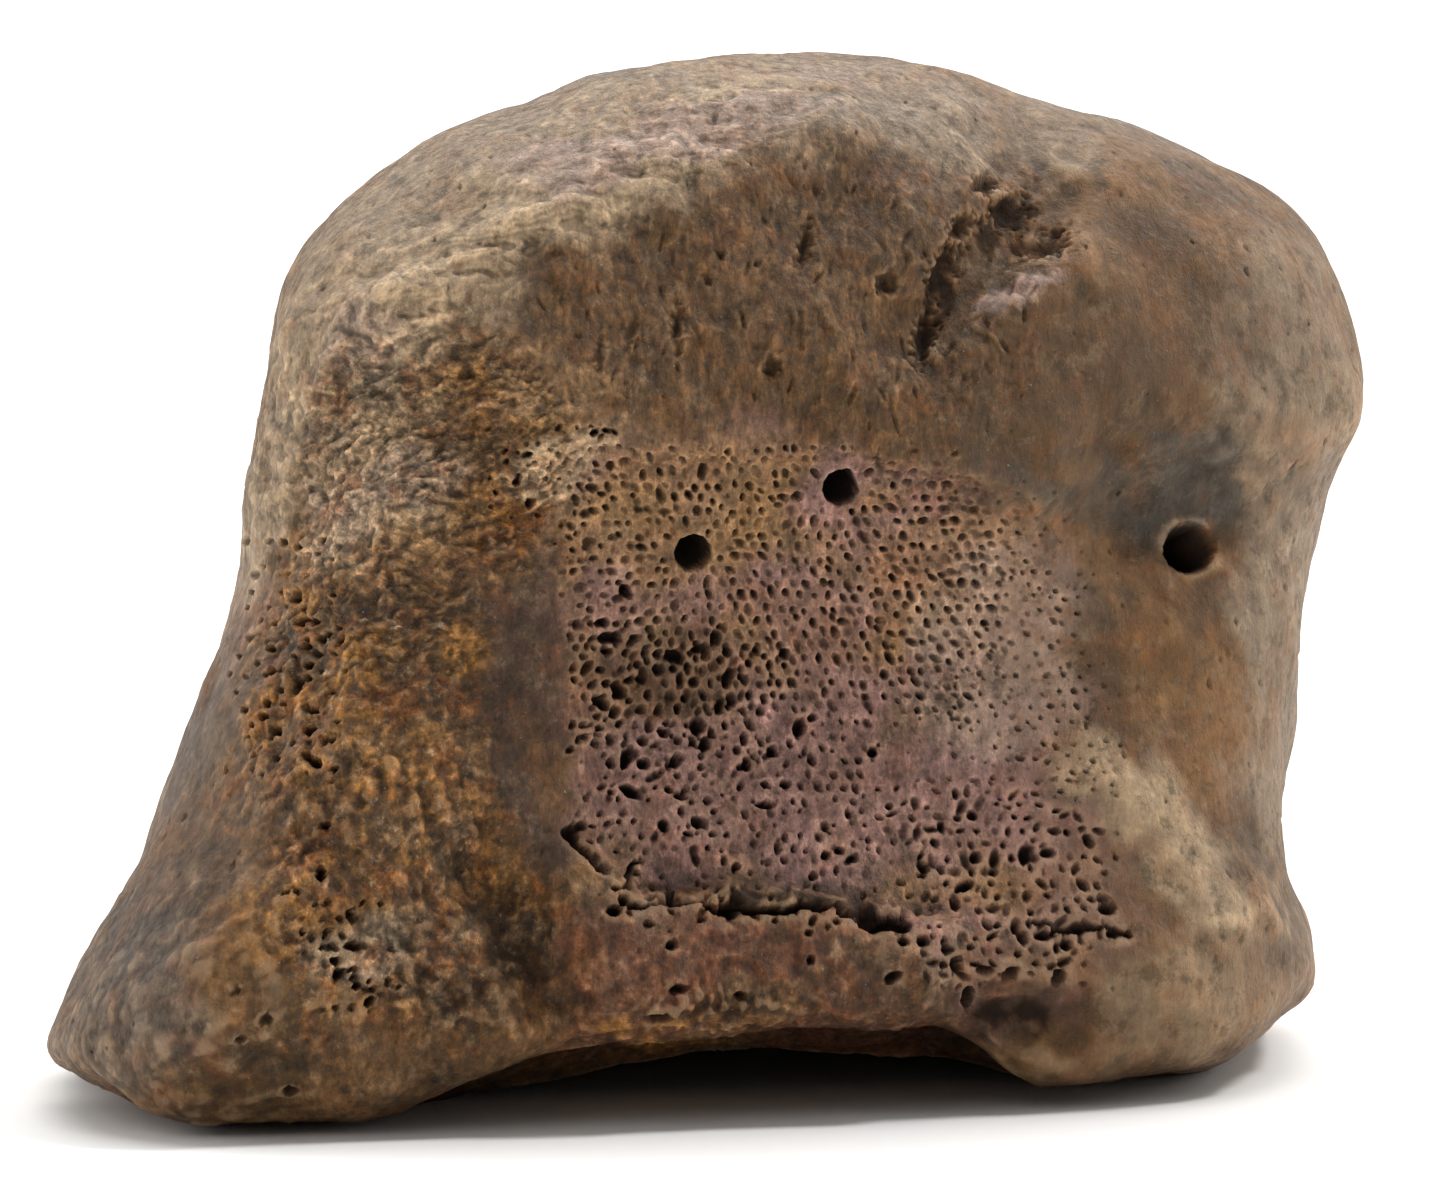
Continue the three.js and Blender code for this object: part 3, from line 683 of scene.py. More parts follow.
def linear(hex_colour):
    """An sRGB hex colour as linear red, green and blue."""
    parts = np.array([int(hex_colour[i:i + 2], 16) for i in (1, 3, 5)]) / 255
    return np.where(parts <= 0.04045, parts / 12.92, ((parts + 0.055) / 1.055) ** 2.4)


# The minerals that have stained the bone, by the colour that each gives it. Cream, worn, mauve,
# sponge tan and iron are also laid on as painted light, where the stains and the top band say so.
COLOURS = {
    "cream": "#d0b28c",
    "worn": "#a08a70",
    "mauve": "#ad9184",
    "tan": "#84603a",
    "ochre": "#93642a",
    "umber": "#5f4426",
    "bark": "#6f4f2e",
    "sponge tan": "#9f784e",
    "sponge pink": "#a17a6f",
    "chocolate": "#573d2b",
    "rust": "#75482f",
    "slate": "#6a5d50",
    "clay": "#554d42",
    "iron": "#b87f3c",
}

# Stains on the sole: the colour, its strength, the place, the half-sizes, and the lean in degrees.
# Some are partly painted light, lighter than the bone where light falls: the pale patches where the
# upper left faces up, those at the lower right, the mauve along the left edge, and the bright iron
# band low on the front rim.
STAINS = [
    ("mauve", 0.7, (-1.0, 28.4), (6.0, 1.0), 12), ("worn", 0.6, (17.4, 20.5), (2.6, 6.5), 0),
    ("mauve", 0.5, (-10.2, 22.8), (1.8, 1.2), 35), ("cream", 0.4, (-9.0, 20.6), (2.4, 0.8), 30),
    ("worn", 0.7, (17.0, 12.5), (1.8, 6.0), 4), ("cream", 0.7, (13.3, 8.2), (1.3, 4.4), 40),
    ("worn", 0.3, (15.8, 4.8), (2.6, 3.2), 0), ("cream", 0.3, (13.4, 3.2), (2.4, 1.4), 20),
    ("umber", 0.7, (9.6, 21.6), (4.4, 4.4), 0), ("umber", 0.6, (4.6, 26.4), (4.0, 1.8), 0),
    ("clay", 0.9, (14.0, 18.4), (2.2, 1.9), 0), ("clay", 0.6, (10.4, 18.0), (3.2, 0.9), -6),
    ("ochre", 0.4, (14.2, 12.0), (1.9, 3.4), 10), ("sponge tan", 0.8, (-4.8, 21.8), (2.2, 1.6), 0),
    ("sponge tan", 0.9, (-9.6, 18.0), (2.8, 2.2), 20), ("mauve", 0.6, (-9.4, 18.4), (2.4, 1.3), 20),
    ("slate", 0.35, (-10.6, 22.0), (1.6, 1.0), 20), ("worn", 0.8, (-13.1, 18.2), (1.2, 3.6), -14),
    ("slate", 0.6, (-15.4, 10.4), (1.6, 3.0), -25), ("mauve", 0.3, (-13.8, 14.0), (0.9, 2.6), -22),
    ("slate", 0.7, (-17.2, 3.6), (2.6, 3.8), -35), ("ochre", 0.7, (-11.5, 6.2), (3.4, 2.4), 30),
    ("ochre", 0.5, (-10.4, 10.2), (2.8, 3.4), 0), ("umber", 0.6, (-10.2, 8.0), (2.6, 1.4), 20),
    ("umber", 0.7, (-6.6, 3.9), (2.4, 1.5), 20), ("worn", 0.7, (-10.2, 4.8), (1.5, 1.4), 20),
    ("tan", 0.6, (-4.9, 10.4), (0.9, 1.6), 0), ("cream", 0.7, (-4.3, 19.6), (2.2, 0.9), 18),
    ("sponge tan", 0.8, (-1.2, 17.4), (3.4, 2.6), 0), ("sponge tan", 0.6, (7.4, 15.6), (3.0, 2.6), 0),
    ("sponge pink", 0.9, (2.6, 9.6), (6.4, 3.2), 0), ("mauve", 0.7, (8.6, 13.4), (2.6, 3.6), -20),
    ("umber", 0.8, (-1.4, 13.0), (3.0, 1.5), -10), ("umber", 0.7, (1.2, 6.2), (3.6, 0.6), -3),
    ("chocolate", 0.7, (6.8, 4.0), (4.2, 1.6), 0), ("rust", 0.8, (2.0, 4.9), (2.4, 0.9), -6),
    ("umber", 0.7, (0.0, 3.1), (2.6, 0.9), 0), ("iron", 0.8, (-1.7, 2.5), (1.8, 0.3), 6),
    ("mauve", 0.9, (9.0, 23.9), (1.7, 0.4), 32), ("tan", 0.4, (2.4, 14.8), (2.2, 1.6), 0),
    ("cream", 0.45, (-9.6, 18.6), (2.6, 2.2), 20), ("cream", 0.4, (-12.8, 18.8), (1.2, 4.0), -14),
    ("umber", 0.5, (-15.0, 5.2), (1.2, 1.6), 0), ("cream", 0.2, (8.6, 13.6), (2.6, 3.2), -20),
]
# Dark patches in pits, cracks and hollows, painted shade with some soil: how strong, the place,
# the half-sizes, and the lean in degrees.
SHADE_AND_SOIL_PATCHES = [
    (0.85, (8.9, 26.0), (1.5, 1.2), 30), (0.7, (8.1, 27.2), (0.7, 0.5), 0),
    (0.9, (6.8, 23.8), (0.6, 2.1), -20), (0.75, (5.2, 24.2), (0.9, 0.6), 0),
    (0.5, (1.9, 21.8), (0.4, 0.6), 0), (0.4, (13.9, 16.6), (1.6, 1.0), 0),
    (0.7, (-5.6, 5.0), (1.9, 2.9), 40), (0.7, (-7.4, 3.9), (2.2, 1.4), 25),
    (0.95, (9.0, 2.9), (2.4, 1.0), 0), (0.4, (-5.6, 17.8), (0.8, 0.7), 0),
    (0.5, (-3.5, 7.9), (0.5, 1.2), 20), (0.3, (12.2, 2.2), (1.2, 0.8), -20),
    (0.3, (0.4, 18.2), (0.8, 0.6), 0), (0.55, (-1.6, 12.4), (2.6, 1.4), -10),
    (0.6, (0.0, 2.9), (2.4, 0.6), 0), (0.9, (2.2, 6.25), (3.8, 0.5), -4),
    (0.6, (-1.2, 6.6), (2.0, 0.5), 0),
]


def blend(colour, name, share):
    return colour + (linear(COLOURS[name]) - colour) * np.clip(share, 0, 1)[:, None]


def shade_and_soil(p, s, w, sole, near_crack):
    """How dark the sole is painted in its hollows: a painted shadow along the cracks, and patches of
    painted shade with some soil.
    """
    # A painted shadow along each crack.
    most = 0.9 * near_crack
    w = s + 0.3 * (w - s)
    for strength, at, size, lean in SHADE_AND_SOIL_PATCHES:
        here = smooth(1.8 * oval(w, {"at": at, "size": size}, math.radians(lean)))
        most = np.maximum(most, strength * here)
    return sole * most * smooth(0.65 + 1.5 * layered(p, 0.7, 3, 70))


def paint(p, w, sole, zones):
    """The skin's broad colours, with some painted light on the top band and in a few stains. Finer mottling
    comes from the material.
    """
    mottle = layered(p, 3.2, 3, 20)
    colour = np.ones((len(p), 1)) * linear(COLOURS["tan"])
    colour = blend(colour, "umber", smooth(0.5 + 1.3 * mottle) * (1 - zones["streaked"]))
    colour = blend(colour, "bark", 0.8 * zones["streaked"])
    colour = blend(colour, "worn", (1 - sole) * smooth(0.5 + 1.3 * noise(p, 4.0, 24)))
    colour = blend(colour, "slate", (1 - sole) * smooth(1.6 * noise(p, 6.5, 25) - 0.1))
    colour = blend(colour, "ochre", zones["crust"] * smooth(0.3 + 1.5 * noise(p, 1.6, 26)))
    colour = blend(colour, "chocolate", zones["smooth_patch"])
    colour = blend(colour, "sponge pink", zones["sponge"])
    colour = blend(colour, "sponge tan", zones["sponge"] * smooth(0.35 + 1.4 * noise(p, 2.2, 27)))
    colour = blend(colour, "rust", zones["rim_band"] * smooth(0.6 + mottle))
    # The top band and its crest painted pale: partly their own colour, partly painted light on the band
    # that faces up.
    colour = blend(colour, "worn", 0.85 * zones["pale_lit_top"])
    colour = blend(colour, "cream", 0.8 * zones["pale_lit_top"] * ridge(w, BRIGHT_CREST, 2.2))
    for name, strength, at, size, lean in STAINS:
        place = {"at": at, "size": (size[0] * 1.25, size[1] * 1.25)}
        colour = blend(colour, name, sole * strength * smooth(2.2 * oval(w, place, math.radians(lean))))
    return np.concatenate([colour, np.ones((len(p), 1))], 1)


def plates(p, size, thickness, seed):
    """Flat patches at different heights, with sharp edges where thin layers have flaked away."""
    level = layered(p, size, 3, seed) * 3
    part = level - np.floor(level)
    return (np.floor(level) + smooth((part - 0.75) / 0.25)) * thickness


def fine_relief(p, s, sole, zones):
    """Wrinkles, fibres, flakes and grain, in millimetres out from the body."""
    bent = p + 0.3 * shifts(p, 1.3, 30, 3)
    bent += 0.12 * shifts(p, 0.4, 33, 3)
    low = smooth((14.5 - s[:, 1]) / 4)
    lean = np.column_stack([bent[:, 0] + 0.4 * bent[:, 2], bent[:, 1], bent[:, 2] - 0.4 * bent[:, 0]])
    folds = creased(stretched(bent, 0.7, 3.0, 2), 1.0, 4, 8) * low
    folds += creased(stretched(lean, 0.5, 3.0, 0), 1.0, 3, 36) * (1 - low)
    chips = layered(stretched(bent, 0.36, 1.6, 0), 1.0, 2, 60)
    streaks = creased(stretched(bent, 0.3, 5.0, 2), 1.0, 2, 6)
    along_crest = sole * np.exp(-((from_line(s, BRIGHT_CREST) / 1.6) ** 2))
    lamina = plates(stretched(bent, 1.3, 2.2, 0), 1.0, 0.06, 40)
    knobs = np.clip(1.6 * noise(p, 0.32, 12), 0, 1) * sole * oval(s, {"at": (0.2, 3.3), "size": (3.2, 1.3)})
    patchy = smooth(0.5 + 1.4 * noise(p, 1.8, 38))
    rough = np.maximum(zones["crust"], 0.45 * zones["rim_band"])
    on_foot = sole * smooth((-9.5 - s[:, 0]) / 3) * smooth((9 - s[:, 1]) / 4) * (1 - rough)
    plain = 1 - 0.5 * zones["sponge"] - 0.2 * zones["smooth_patch"]
    return (
        0.05 * layered(p, 2.6, 2, 11)
        + rough * ((0.22 - 0.08 * low) * (folds - 0.5) + (0.02 + 0.08 * patchy) * chips)
        + 0.07 * rough * low * layered(bent, 0.6, 2, 39)
        + 0.10 * on_foot * (creased(stretched(lean, 0.7, 2.2, 0), 1.0, 3, 41) - 0.5)
        + 0.10 * zones["streaked"] * layered(stretched(bent, 0.9, 2.0, 2), 1.0, 2, 61)
        + plain * (0.10 + 0.4 * rough + 0.9 * along_crest) * lamina
        + (0.15 + 0.85 * zones["streaked"]) * plain * 0.07 * (streaks - 0.3)
        + 0.012 * plain * chips
        + 0.25 * knobs
        - 0.12 * zones["sponge"]
    )


def make_skin():
    directions, faces = ball(BALL_SPLITS, CROWDING)
    p = CORE + directions * reach(directions)[:, None]
    facing = normals(p, faces)
    p = p + facing * relief(p, facing)[:, None]
    facing = normals(p, faces)
    s, w, sole, zones = skin_zones(p, facing)

    out = fine_relief(p, s, sole, zones)

    cut, lip = np.zeros(len(p)), np.zeros(len(p))
    wobble = noise(p, 0.16, 13)
    on_sole = np.flatnonzero(facing[:, 1] < 0.25)
    press_sole(Chart(s[on_sole], on_sole), cut, lip, wobble)
    rest = []
    for axes, toward, corners, holes in (
        ([0, 2], facing[:, 1] > 0.35, WHOLE, BACK_HOLES),
        ([1, 2], facing[:, 0] > 0.6, SIDE_ON, []),
        ([1, 2], facing[:, 0] < -0.6, SIDE_ON, []),
        ([0, 1], facing[:, 2] > 0.6, FROM_ABOVE, []),
        ([0, 1], facing[:, 2] < -0.6, FROM_ABOVE, []),
    ):
        who = np.flatnonzero(toward)
        rest.append((Chart(p[who][:, axes], who), corners, holes))
    press_rest(rest, cut, lip, wobble)

    torn = s + 0.30 * shifts(p, 0.9, 80, 2)
    torn += 0.12 * shifts(p, 0.3, 82, 2)
    near_crack = np.zeros(len(p))
    for line, half, depth in CRACKS:
        ragged = half * np.exp(1.1 * noise(p[on_sole], 0.7, 14))
        gap = abs(from_line(torn[on_sole], line))
        cut[on_sole] = np.maximum(cut[on_sole], depth * (1 - smooth(gap / ragged - 0.5)))
        near_crack[on_sole] = np.maximum(near_crack[on_sole], 1 - smooth(gap / (3 * ragged)))

    out += lip * (cut < 0.05)
    shallow = p + facing * (out - np.minimum(cut, 0.2))[:, None]
    p = p + facing * (out - cut)[:, None]
    p[:, 2] = np.maximum(p[:, 2], 0)
    fields = {"sponge": zones["sponge"]}
    # Pits and cracks are painted darker the deeper they are cut, a painted shade, with the painted shade
    # and soil of the hollows on top.
    fields["pit"] = np.maximum(smooth(cut / 0.45), shade_and_soil(p, s, w, sole, near_crack))
    fields["crust"] = np.maximum(zones["crust"], 0.35 * zones["rim_band"])
    fields["sole"] = sole
    fields["level"] = zones["crust"] * smooth((s[:, 1] - 12) / 3)
    worn = sole * np.maximum(smooth((s[:, 0] - 5) / 6), 0.35 * zones["smooth_patch"])
    worn = np.maximum(worn, 0.5 * sole * smooth((-11.5 - s[:, 0]) / 2) * (1 - zones["crust"]))
    worn = np.maximum(worn, 0.5 * zones["pale_lit_top"])
    fields["worn"] = np.maximum(worn, 0.5 * (1 - sole))
    fields["tint"] = paint(p, w, sole, zones)
    fields["raised"] = raised(shallow, faces, 8)
    return p, faces, fields


def raised(p, faces, rounds):
    """How far each point stands out from those around it: above 0 on edges, below 0 in hollows."""
    a, b = faces.ravel(), np.roll(faces, -1, 1).ravel()
    count = np.bincount(a, minlength=len(p))[:, None]
    level = p
    for _ in range(rounds):
        level = np.stack([np.bincount(a, level[b, k], len(p)) for k in range(3)], 1) / count
    return ((p - level) * normals(p, faces)).sum(1)


# ---- The bone ----

BONE_FACES = 192000
# The skin starts as a ball whose faces are split in four this often, then crowded towards the sole.
BALL_SPLITS = 9
CROWDING = 0.45
# How much more a point of the sponge resists being taken away, for each millimetre between points.
KEEP_DETAIL = 0.012


def mesh_object(name, points, faces, fields):
    """An object from points and triangles. Each field is a value, or a colour, for every point."""
    mesh = bpy.data.meshes.new(name)
    mesh.vertices.add(len(points))
    mesh.vertices.foreach_set("co", points.astype(np.float32).ravel())
    mesh.loops.add(faces.size)
    mesh.loops.foreach_set("vertex_index", faces.astype(np.int32).ravel())
    mesh.polygons.add(len(faces))
    mesh.polygons.foreach_set("loop_start", np.arange(0, faces.size, 3, dtype=np.int32))
    mesh.polygons.foreach_set("use_smooth", np.ones(len(faces), bool))
    mesh.update(calc_edges=True)
    for field, values in fields.items():
        if values.ndim == 2:
            mesh.attributes.new(field, "FLOAT_COLOR", "POINT").data.foreach_set("color", values.ravel())
        else:
            mesh.attributes.new(field, "FLOAT", "POINT").data.foreach_set("value", values)
    piece = bpy.data.objects.new(name, mesh)
    bpy.context.collection.objects.link(piece)
    return piece


def thin_out(piece, faces_left, kept):
    """Takes faces away where they are missed least. kept is how much the detail at each point matters."""
    levels = np.round(kept * 10).astype(int)
    group = piece.vertex_groups.new(name="plain")
    for level in range(11):
        group.add(np.flatnonzero(levels == level).tolist(), 1 - 0.09 * level, "REPLACE")
    cut = piece.modifiers.new("thin out", "DECIMATE")
    cut.ratio = faces_left / len(piece.data.polygons)
    cut.vertex_group = group.name
    cut.vertex_group_factor = KEEP_DETAIL
    mesh = bpy.data.meshes.new_from_object(piece.evaluated_get(bpy.context.evaluated_depsgraph_get()))
    piece.modifiers.clear()
    piece.vertex_groups.clear()
    dense, piece.data = piece.data, mesh
    bpy.data.meshes.remove(dense)


# The bake map is a box unfolded round the core: each side's way out, way across and way up,
# and the part of the map that it gets, as left, bottom, width and height.
SIDES = [
    ((0, -1, 0), (1, 0, 0), (0, 0, 1), (0.00, 0.00, 0.66, 0.60)),
    ((0, 1, 0), (-1, 0, 0), (0, 0, 1), (0.00, 0.61, 0.42, 0.39)),
    ((0, 0, 1), (1, 0, 0), (0, 1, 0), (0.43, 0.61, 0.57, 0.19)),
    ((0, 0, -1), (1, 0, 0), (0, -1, 0), (0.43, 0.81, 0.57, 0.19)),
    ((-1, 0, 0), (0, -1, 0), (0, 0, 1), (0.67, 0.00, 0.33, 0.30)),
    ((1, 0, 0), (0, 1, 0), (0, 0, 1), (0.67, 0.31, 0.33, 0.29)),
]
# How far each way out counts, so that the sole's side takes the whole of what shows on it.
SIDE_SHARE = (1.75, 1.45, 1.0, 1.0, 1.0, 1.0)


def add_bake_map(piece, core):
    mesh = piece.data
    points = np.empty(len(mesh.vertices) * 3, np.float32)
    corners = np.empty(len(mesh.loops), np.int32)
    mesh.vertices.foreach_get("co", points)
    mesh.loops.foreach_get("vertex_index", corners)
    ray = points.reshape(-1, 3)[corners] - core * MM
    middle = ray.reshape(-1, 3, 3).mean(1)
    outs = np.array([side[0] for side in SIDES]).T
    side_of = np.repeat(np.argmax(middle @ outs * SIDE_SHARE, 1), 3)
    uv = np.zeros((len(ray), 2))
    for i, (out, across, up, (left, bottom, width, height)) in enumerate(SIDES):
        mine = side_of == i
        flat = ray[mine] @ np.array([across, up]).T / (ray[mine] @ out)[:, None]
        low, high = flat.min(0), flat.max(0)
        uv[mine] = (left, bottom) + (flat - low) / (high - low) * (width, height)
    layer = mesh.uv_layers.new(name="OFBake")
    layer.data.foreach_set("uv", uv.astype(np.float32).ravel())


def make_bone():
    points, faces, fields = make_skin()
    middle = (points.min(0) + points.max(0)) / 2 * (1, 1, 0)
    kept = np.maximum(fields["sponge"], 0.5 * fields["sole"])
    bone = mesh_object("toe_bone_skin", points - middle, faces, fields)
    thin_out(bone, BONE_FACES, kept)
    bone.data.transform(Matrix.Scale(MM, 4))
    add_bake_map(bone, CORE - middle)
    return bone, middle


# ---- Materials ----


def add(tree, kind, links=(), **settings):
    """A new node. settings are its properties, and links gives each input an output or a value."""
    node = tree.nodes.new(kind)
    for name, value in settings.items():
        setattr(node, name, value)
    for name, value in dict(links).items():
        if isinstance(value, bpy.types.NodeSocket):
            tree.links.new(value, node.inputs[name])
        else:
            node.inputs[name].default_value = value
    return node


def rgba(hex_colour):
    return (*linear(hex_colour), 1)


# The grain of the bone: each kind's seed, its size in millimetres, its layers, their roughness, its swirl,
# how far it is drawn out along X, Y and Z, and how far that leans to the right, in degrees.
GRAIN = {
    "iron": (1, 1.2, 5, 0.74, 0.3, (1, 1, 1), 0),
    "clay": (2, 0.9, 5, 0.74, 0.3, (1, 1, 1), 0),
    "manganese": (3, 0.7, 5, 0.75, 0, (1, 1, 1), 0),
    "pale flecks": (7, 0.3, 5, 0.8, 0.4, (1, 1, 1), 0),
    "dark gaps": (9, 1.1, 6, 0.78, 0.6, (1, 1, 1), 0),
    "dust_and_glints": (15, 0.11, 3, 0.7, 0, (1, 1, 1), 0),
    "upright fibres": (4, 0.8, 6, 0.8, 0.25, (0.5, 0.6, 1.35), 0),
    "level fibres": (12, 0.8, 6, 0.8, 0.25, (1.35, 0.6, 0.5), 22),
    "tangled fibres": (13, 0.7, 6, 0.8, 0.3, (1, 1, 1), 0),
    "crumbs": (5, 0.34, 4, 0.75, 0, (1, 1, 1), 0),
    "polish": (8, 0.3, 3, 0.6, 0, (1, 1, 1), 0),
}
# The minerals in the bone, and the dark gaps of the crust: the grain from none of it to most, its share
# in plain skin and in the crust, and its colour. Iron gives the ochre and rust, manganese the grey and
# the olive; the dark gaps are dark blots in the crust.
MINERALS = {
    "iron": (0.48, 0.62, 0.30, 0.65, "#8a4e1a"),
    "clay": (0.51, 0.66, 0.35, 0.35, "#a1876a"),
    "manganese": (0.50, 0.64, 0.55, 0.55, "#46361b"),
    "pale flecks": (0.54, 0.66, 0, 0.45, "#b8a58c"),
    "dark gaps": (0.47, 0.36, 0, 0.55, "#3a2a1a"),
}
# Pale specks: partly dust, partly painted glints.
DUST_AND_GLINTS = (0.66, 0.74, 0.45, 0.45, "#d3c6b6")


def covered(tree, colour, grain, crust, mineral):
    """The colour with blots of one more colour over it: a mineral, the dark gaps, or dust and painted
    glints.
    """
    none, most, share_on_plain, share_on_crust, hex_colour = mineral
    share = {"Value": crust, "To Min": share_on_plain, "To Max": share_on_crust}
    share = add(tree, "ShaderNodeMapRange", share).outputs["Result"]
    blots = {"Value": grain, "From Min": none, "From Max": most, "To Max": share}
    blots = add(tree, "ShaderNodeMapRange", blots, interpolation_type="SMOOTHSTEP").outputs["Result"]
    links = {0: blots, 6: colour, 7: rgba(hex_colour)}
    return add(tree, "ShaderNodeMix", links, data_type="RGBA").outputs[2]


def fossil_bone():
    """Fossil bone: hard apatite with minerals in its pores, weathered out of the ground and handled.
    Worn places and raised edges are pale and a little smoother; the pale of raised edges is a painted
    highlight, with some wear. Pores, creases and hollows are painted dark: painted shade, with some soil."""
    material = bpy.data.materials.new("fossil_bone")
    material.use_nodes = True
    tree = material.node_tree
    tree.nodes.clear()
    colour = add(tree, "ShaderNodeAttribute", attribute_name="tint").outputs["Color"]
    skin = {}
    for name in ("crust", "level", "worn", "raised", "pit"):
        skin[name] = add(tree, "ShaderNodeAttribute", attribute_name=name).outputs["Fac"]

    where = add(tree, "ShaderNodeTexCoord").outputs["Object"]
    grain = {}
    for name, (seed, size_mm, layers, rough, swirl, drawn_out, lean) in GRAIN.items():
        links = {"Vector": where, "Rotation": (0, math.radians(lean), 0), "Scale": drawn_out}
        place = add(tree, "ShaderNodeMapping", links, vector_type="TEXTURE").outputs["Vector"]
        links = {
            "Vector": place, "W": seed, "Scale": 1 / (size_mm * MM),
            "Detail": layers, "Roughness": rough, "Distortion": swirl,
        }
        grain[name] = add(tree, "ShaderNodeTexNoise", links, noise_dimensions="4D").outputs["Fac"]

    # Each amount passes softly from one value to another while what it follows goes from low to high.
    amount = {}
    for name, follows, low, high, at_low, at_high in (
        ("contrast", skin["worn"], 0, 1, 1.0, 0.35),
        # Darker in hollows and lighter on raised edges: painted shade and painted highlight.
        ("hollow shade to edge highlight", skin["raised"], -0.05, 0.05, -0.9, 0.6),
        # How much pale goes on raised edges: a painted highlight, with some wear.
        ("most on edges", skin["crust"], 0, 1, 0.35, 0.35 * 0.45),
        # How far pits and hollows go towards near-black: painted shade, with some soil.
        ("shade_and_soil", skin["pit"], 0.1, 1.0, 0, 0.90),
        ("polish", grain["polish"], 0.3, 0.7, 0.45, 0.7),
        ("dullness", skin["pit"], 0.1, 0.8, 0, 0.55),
    ):
        links = {"Value": follows, "From Min": low, "From Max": high, "To Min": at_low, "To Max": at_high}
        node = add(tree, "ShaderNodeMapRange", links, interpolation_type="SMOOTHSTEP")
        amount[name] = node.outputs["Result"]
    most = amount["most on edges"]
    links = {"Value": skin["raised"], "From Min": 0.012, "From Max": 0.06, "To Max": most}
    edge_highlight_and_wear = add(tree, "ShaderNodeMapRange", links, interpolation_type="SMOOTHSTEP").outputs["Result"]

    for name, mineral in MINERALS.items():
        colour = covered(tree, colour, grain[name], skin["crust"], mineral)

    # Fibres: upright in the middle and the lower part of the sole, level on its upper left, and
    # tangled in the crust. Their shade and that of the crumbs is in steps of twice as bright.
    tangled = add(tree, "ShaderNodeMath", {0: skin["crust"], 1: 0.4}, operation="MULTIPLY").outputs[0]
    links = {0: skin["level"], 2: grain["upright fibres"], 3: grain["level fibres"]}
    fibres = add(tree, "ShaderNodeMix", links).outputs[0]
    fibres = add(tree, "ShaderNodeMix", {0: tangled, 2: fibres, 3: grain["tangled fibres"]}).outputs[0]
    shade = add(tree, "ShaderNodeMath", {0: fibres, 1: 6.5, 2: -3.5}, operation="MULTIPLY_ADD").outputs[0]
    links = {0: skin["crust"], 1: 2.0, 2: 3.5}
    weight = add(tree, "ShaderNodeMath", links, operation="MULTIPLY_ADD").outputs[0]
    crumbs = add(tree, "ShaderNodeMath", {0: grain["crumbs"], 1: 0.5}, operation="SUBTRACT").outputs[0]
    links = {0: crumbs, 1: weight, 2: shade}
    shade = add(tree, "ShaderNodeMath", links, operation="MULTIPLY_ADD").outputs[0]
    links = {0: skin["crust"], 1: 0.35, 2: amount["contrast"]}
    contrast = add(tree, "ShaderNodeMath", links, operation="MULTIPLY_ADD").outputs[0]
    # Here the skin goes darker in hollows and lighter on raised edges: painted shade and painted highlight.
    links = {0: shade, 1: contrast, 2: amount["hollow shade to edge highlight"]}
    shade = add(tree, "ShaderNodeMath", links, operation="MULTIPLY_ADD").outputs[0]
    light = add(tree, "ShaderNodeMath", {0: 2.0, 1: shade}, operation="POWER").outputs[0]
    colour = add(tree, "ShaderNodeVectorMath", {0: colour, "Scale": light}, operation="SCALE").outputs[0]

    # Raised edges go towards pale: a painted highlight, with some wear.
    links = {0: edge_highlight_and_wear, 6: colour, 7: rgba("#c4a583")}
    colour = add(tree, "ShaderNodeMix", links, data_type="RGBA").outputs[2]
    # Pale specks over all: dust, and painted glints.
    colour = covered(tree, colour, grain["dust_and_glints"], skin["crust"], DUST_AND_GLINTS)
    # Near-black in pits, cracks and hollows: painted shade of their depth, with some soil.
    links = {0: amount["shade_and_soil"], 6: colour, 7: rgba("#24170e")}
    colour = add(tree, "ShaderNodeMix", links, data_type="RGBA").outputs[2]
    links = {0: amount["polish"], 1: amount["dullness"]}
    rough = add(tree, "ShaderNodeMath", links, operation="ADD").outputs[0]

    height = add(tree, "ShaderNodeMath", {0: fibres, 1: 2.0}, operation="MULTIPLY").outputs[0]
    links = {0: grain["crumbs"], 1: 1.1, 2: height}
    height = add(tree, "ShaderNodeMath", links, operation="MULTIPLY_ADD").outputs[0]
    bump = add(tree, "ShaderNodeBump", {"Height": height, "Strength": 0.9, "Distance": 0.13 * MM})
    links = {
        "Base Color": colour, "Roughness": rough, "Normal": bump.outputs["Normal"], "IOR": 1.55,
        "Specular IOR Level": 0.3,
    }
    shader = add(tree, "ShaderNodeBsdfPrincipled", links)
    add(tree, "ShaderNodeOutputMaterial", {"Surface": shader.outputs["BSDF"]})
    return material


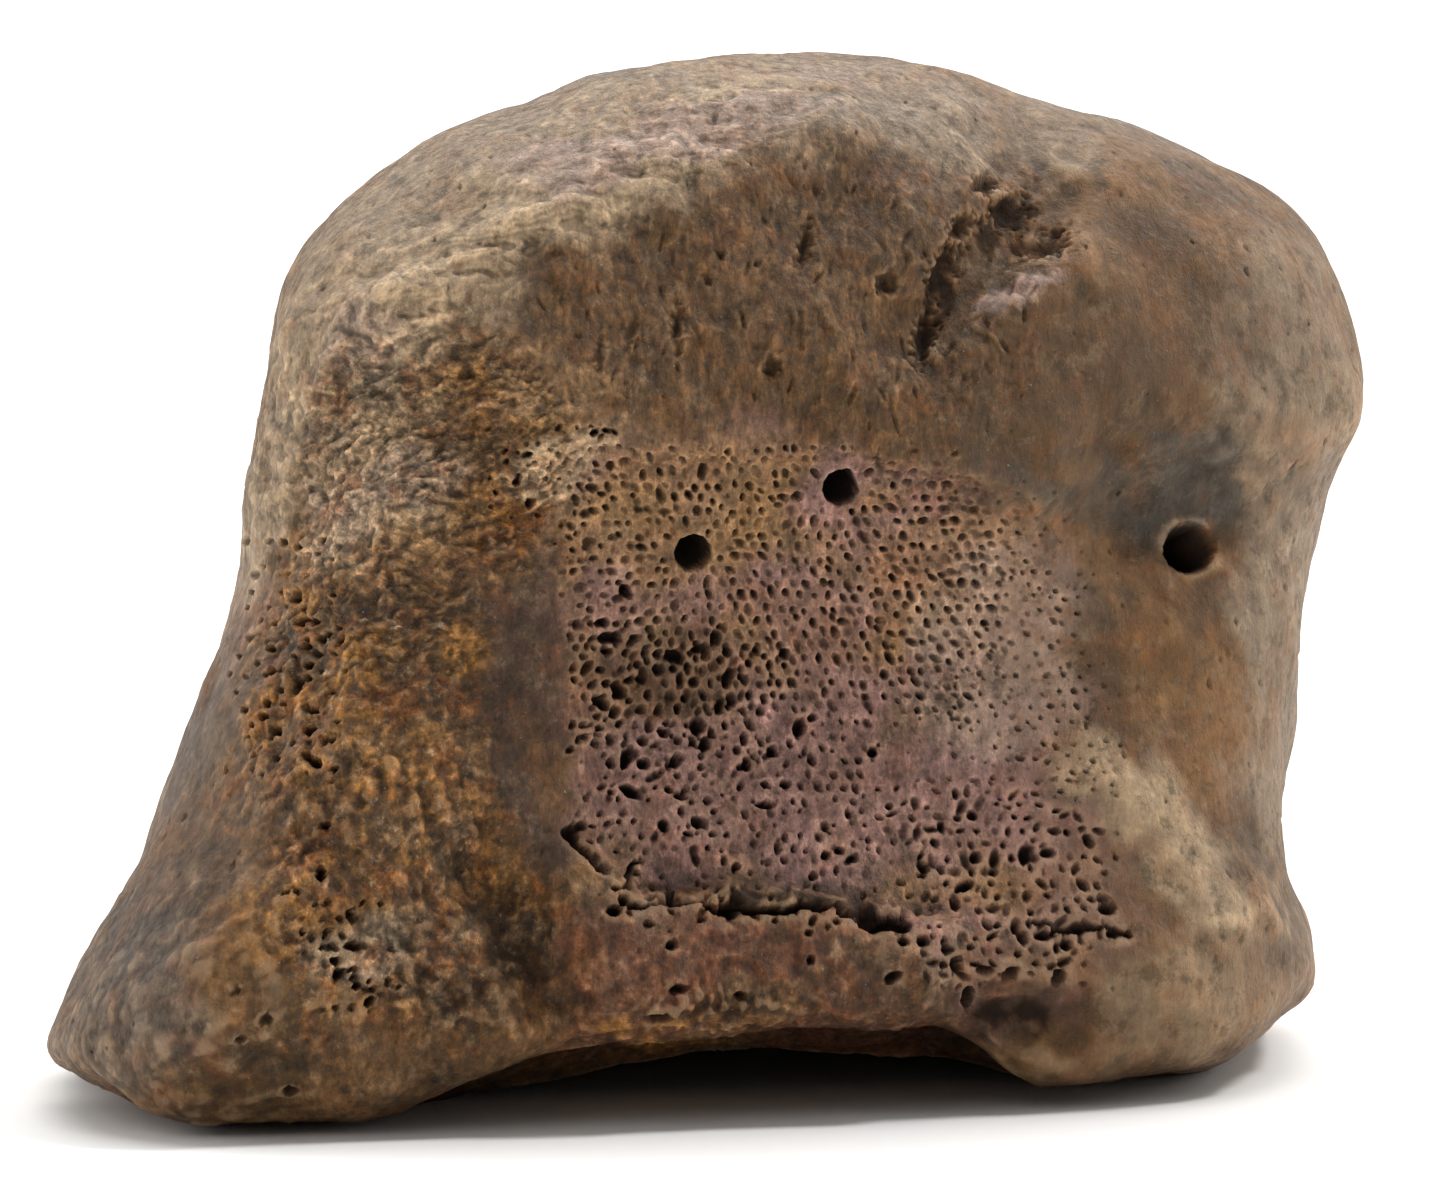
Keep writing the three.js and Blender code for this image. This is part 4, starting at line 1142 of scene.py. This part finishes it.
def plain_paper():
    """Matt white backing paper: even and without shine."""
    material = bpy.data.materials.new("backing_paper")
    material.use_nodes = True
    shader = material.node_tree.nodes["Principled BSDF"]
    for name, value in {"Base Color": rgba("#f4f3f1"), "Roughness": 0.9, "Specular IOR Level": 0.1}.items():
        shader.inputs[name].default_value = value
    return material


# ---- Floor, light and camera ----


def make_floor():
    mesh = bpy.data.meshes.new("floor")
    bm = bmesh.new()
    bmesh.ops.create_circle(bm, cap_ends=True, radius=4, segments=96)
    bm.to_mesh(mesh)
    bm.free()
    floor = bpy.data.objects.new("floor", mesh)
    bpy.context.collection.objects.link(floor)
    mesh.materials.append(plain_paper())


def aim(thing, toward):
    thing.rotation_euler = (Vector(toward) - thing.location).to_track_quat("-Z", "Y").to_euler()


def add_sun(name, place, strength, softness):
    light = bpy.data.objects.new(name, bpy.data.lights.new(name, "SUN"))
    light.data.energy = strength
    light.data.angle = math.radians(softness)
    light.location = place
    bpy.context.collection.objects.link(light)
    aim(light, (0, 0, 0))


def make_light():
    """A softbox above and behind, one high on the right, one on each side, and pale walls all round."""
    add_sun("overhead", (0.1, 0.75, 1.2), 3.45, 70)
    add_sun("high_right", (0.68, 0.17, 0.98), 1.4, 10)
    add_sun("left_side", (-1.0, 0.35, 0.45), 1.5, 60)
    add_sun("right_side", (1.0, 0.35, 0.4), 1.05, 60)
    add_sun("front_fill", (-0.5, -0.9, 1.0), 0.25, 40)
    world = bpy.data.worlds.new("studio")
    bpy.context.scene.world = world
    world.use_nodes = True
    world.node_tree.nodes["Background"].inputs["Color"].default_value = rgba("#ffffff")
    world.node_tree.nodes["Background"].inputs["Strength"].default_value = 0.18


def make_camera(middle):
    camera = bpy.data.objects.new("camera", bpy.data.cameras.new("camera"))
    camera.data.sensor_width = 36
    camera.data.lens = 241
    camera.data.clip_start = 0.02
    camera.data.clip_end = 20
    camera.location = Vector((EYE - middle) * MM)
    camera.rotation_euler = (math.pi / 2 - EYE_TILT, 0, 0)
    bpy.context.collection.objects.link(camera)
    bpy.context.scene.camera = camera


bone, middle = make_bone()
bone.data.materials.append(fossil_bone())
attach(bone, "root")
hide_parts("toe_bone")
make_floor()
make_light()
make_camera(middle)
bpy.context.scene.view_settings.view_transform = "Standard"
